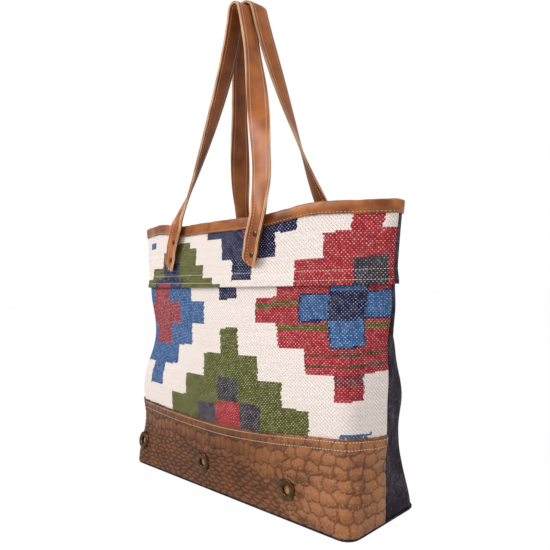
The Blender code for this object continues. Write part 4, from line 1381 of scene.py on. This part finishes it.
# %% Floor and world
FLOOR_HALF = 6.0
FLOOR_GLOW = 0.98
FILL = 0.45

floor_material, add, feed = new_material("pale_studio_floor", Roughness=0.9, Base_Color=(0.86, 0.86, 0.86, 1))
paths = add("LightPath")
seen = add("Math", MAXIMUM, paths.outputs["Is Camera Ray"], paths.outputs["Is Glossy Ray"])
glow = add("Emission", {}, (1, 1, 1, 1), 1.0)
nodes = floor_material.node_tree.nodes
lit = add("MixShader", {}, add("Math", MULTIPLY, seen, FLOOR_GLOW), nodes["Principled BSDF"], glow)
fill_inputs(floor_material.node_tree, nodes["Material Output"], Surface=lit)

builder = bmesh.new()
bmesh.ops.create_grid(builder, x_segments=1, y_segments=1, size=FLOOR_HALF)
bmesh.ops.translate(builder, vec=(0, 0, -0.0002), verts=builder.verts[:])
made_from("floor", builder, [floor_material])

world = bpy.data.worlds.new("studio")
bpy.context.scene.world = world
world.use_nodes = True
add = partial(add_node, world.node_tree)
paths = add("LightPath")
seen = add("Math", MAXIMUM, paths.outputs["Is Camera Ray"], paths.outputs["Is Transmission Ray"])
strength = add("MapRange", {}, seen, 0.0, 1.0, FILL, 1.0)
fill_inputs(world.node_tree, world.node_tree.nodes["Background"], Color=(1, 1, 1, 1), Strength=strength)
print("world fill:", FILL)

# %% Lamps
def lamp(name, place, aim, size, power):
    """Large soft area lamp that points at a spot."""
    data = bpy.data.lights.new(name, "AREA")
    data.shape = "SQUARE"
    data.size = size
    data.energy = power
    made = bpy.data.objects.new(name, data)
    made.location = place
    made.rotation_euler = (Vector(aim) - Vector(place)).to_track_quat("-Z", "Y").to_euler()
    bpy.context.scene.collection.objects.link(made)
    return made


MIDDLE = (0, 0, 0.25)
lamp("key", (-0.9, -2.4, 1.9), MIDDLE, 1.6, 68)
lamp("side", (2.6, -0.6, 1.2), MIDDLE, 1.4, 16)
lamp("top", (0.3, 0.2, 2.6), MIDDLE, 1.5, 16)

# %% Camera
VIEW_AZIMUTH = math.radians(44.66)
VIEW_ROLL = math.radians(-1.85)
VIEW_PLACE = Vector((0.4953, -0.4601, 0.2497))
LENS = 36.26

ahead = Vector((-math.sin(VIEW_AZIMUTH), math.cos(VIEW_AZIMUTH), 0))
right = Vector((math.cos(VIEW_AZIMUTH), math.sin(VIEW_AZIMUTH), 0))
above = Vector((0, 0, 1))
view_x = right * math.cos(VIEW_ROLL) + above * math.sin(VIEW_ROLL)
view_y = above * math.cos(VIEW_ROLL) - right * math.sin(VIEW_ROLL)
camera_data = bpy.data.cameras.new("camera")
camera_data.lens = LENS
camera_data.sensor_width = 36
camera = bpy.data.objects.new("camera", camera_data)
camera.matrix_world = Matrix.Translation(VIEW_PLACE) @ Matrix((view_x, view_y, -ahead)).transposed().to_4x4()
bpy.context.scene.collection.objects.link(camera)
bpy.context.scene.camera = camera
bpy.context.scene.view_settings.view_transform = "Standard"
print("camera at", tuple(round(v, 3) for v in VIEW_PLACE))
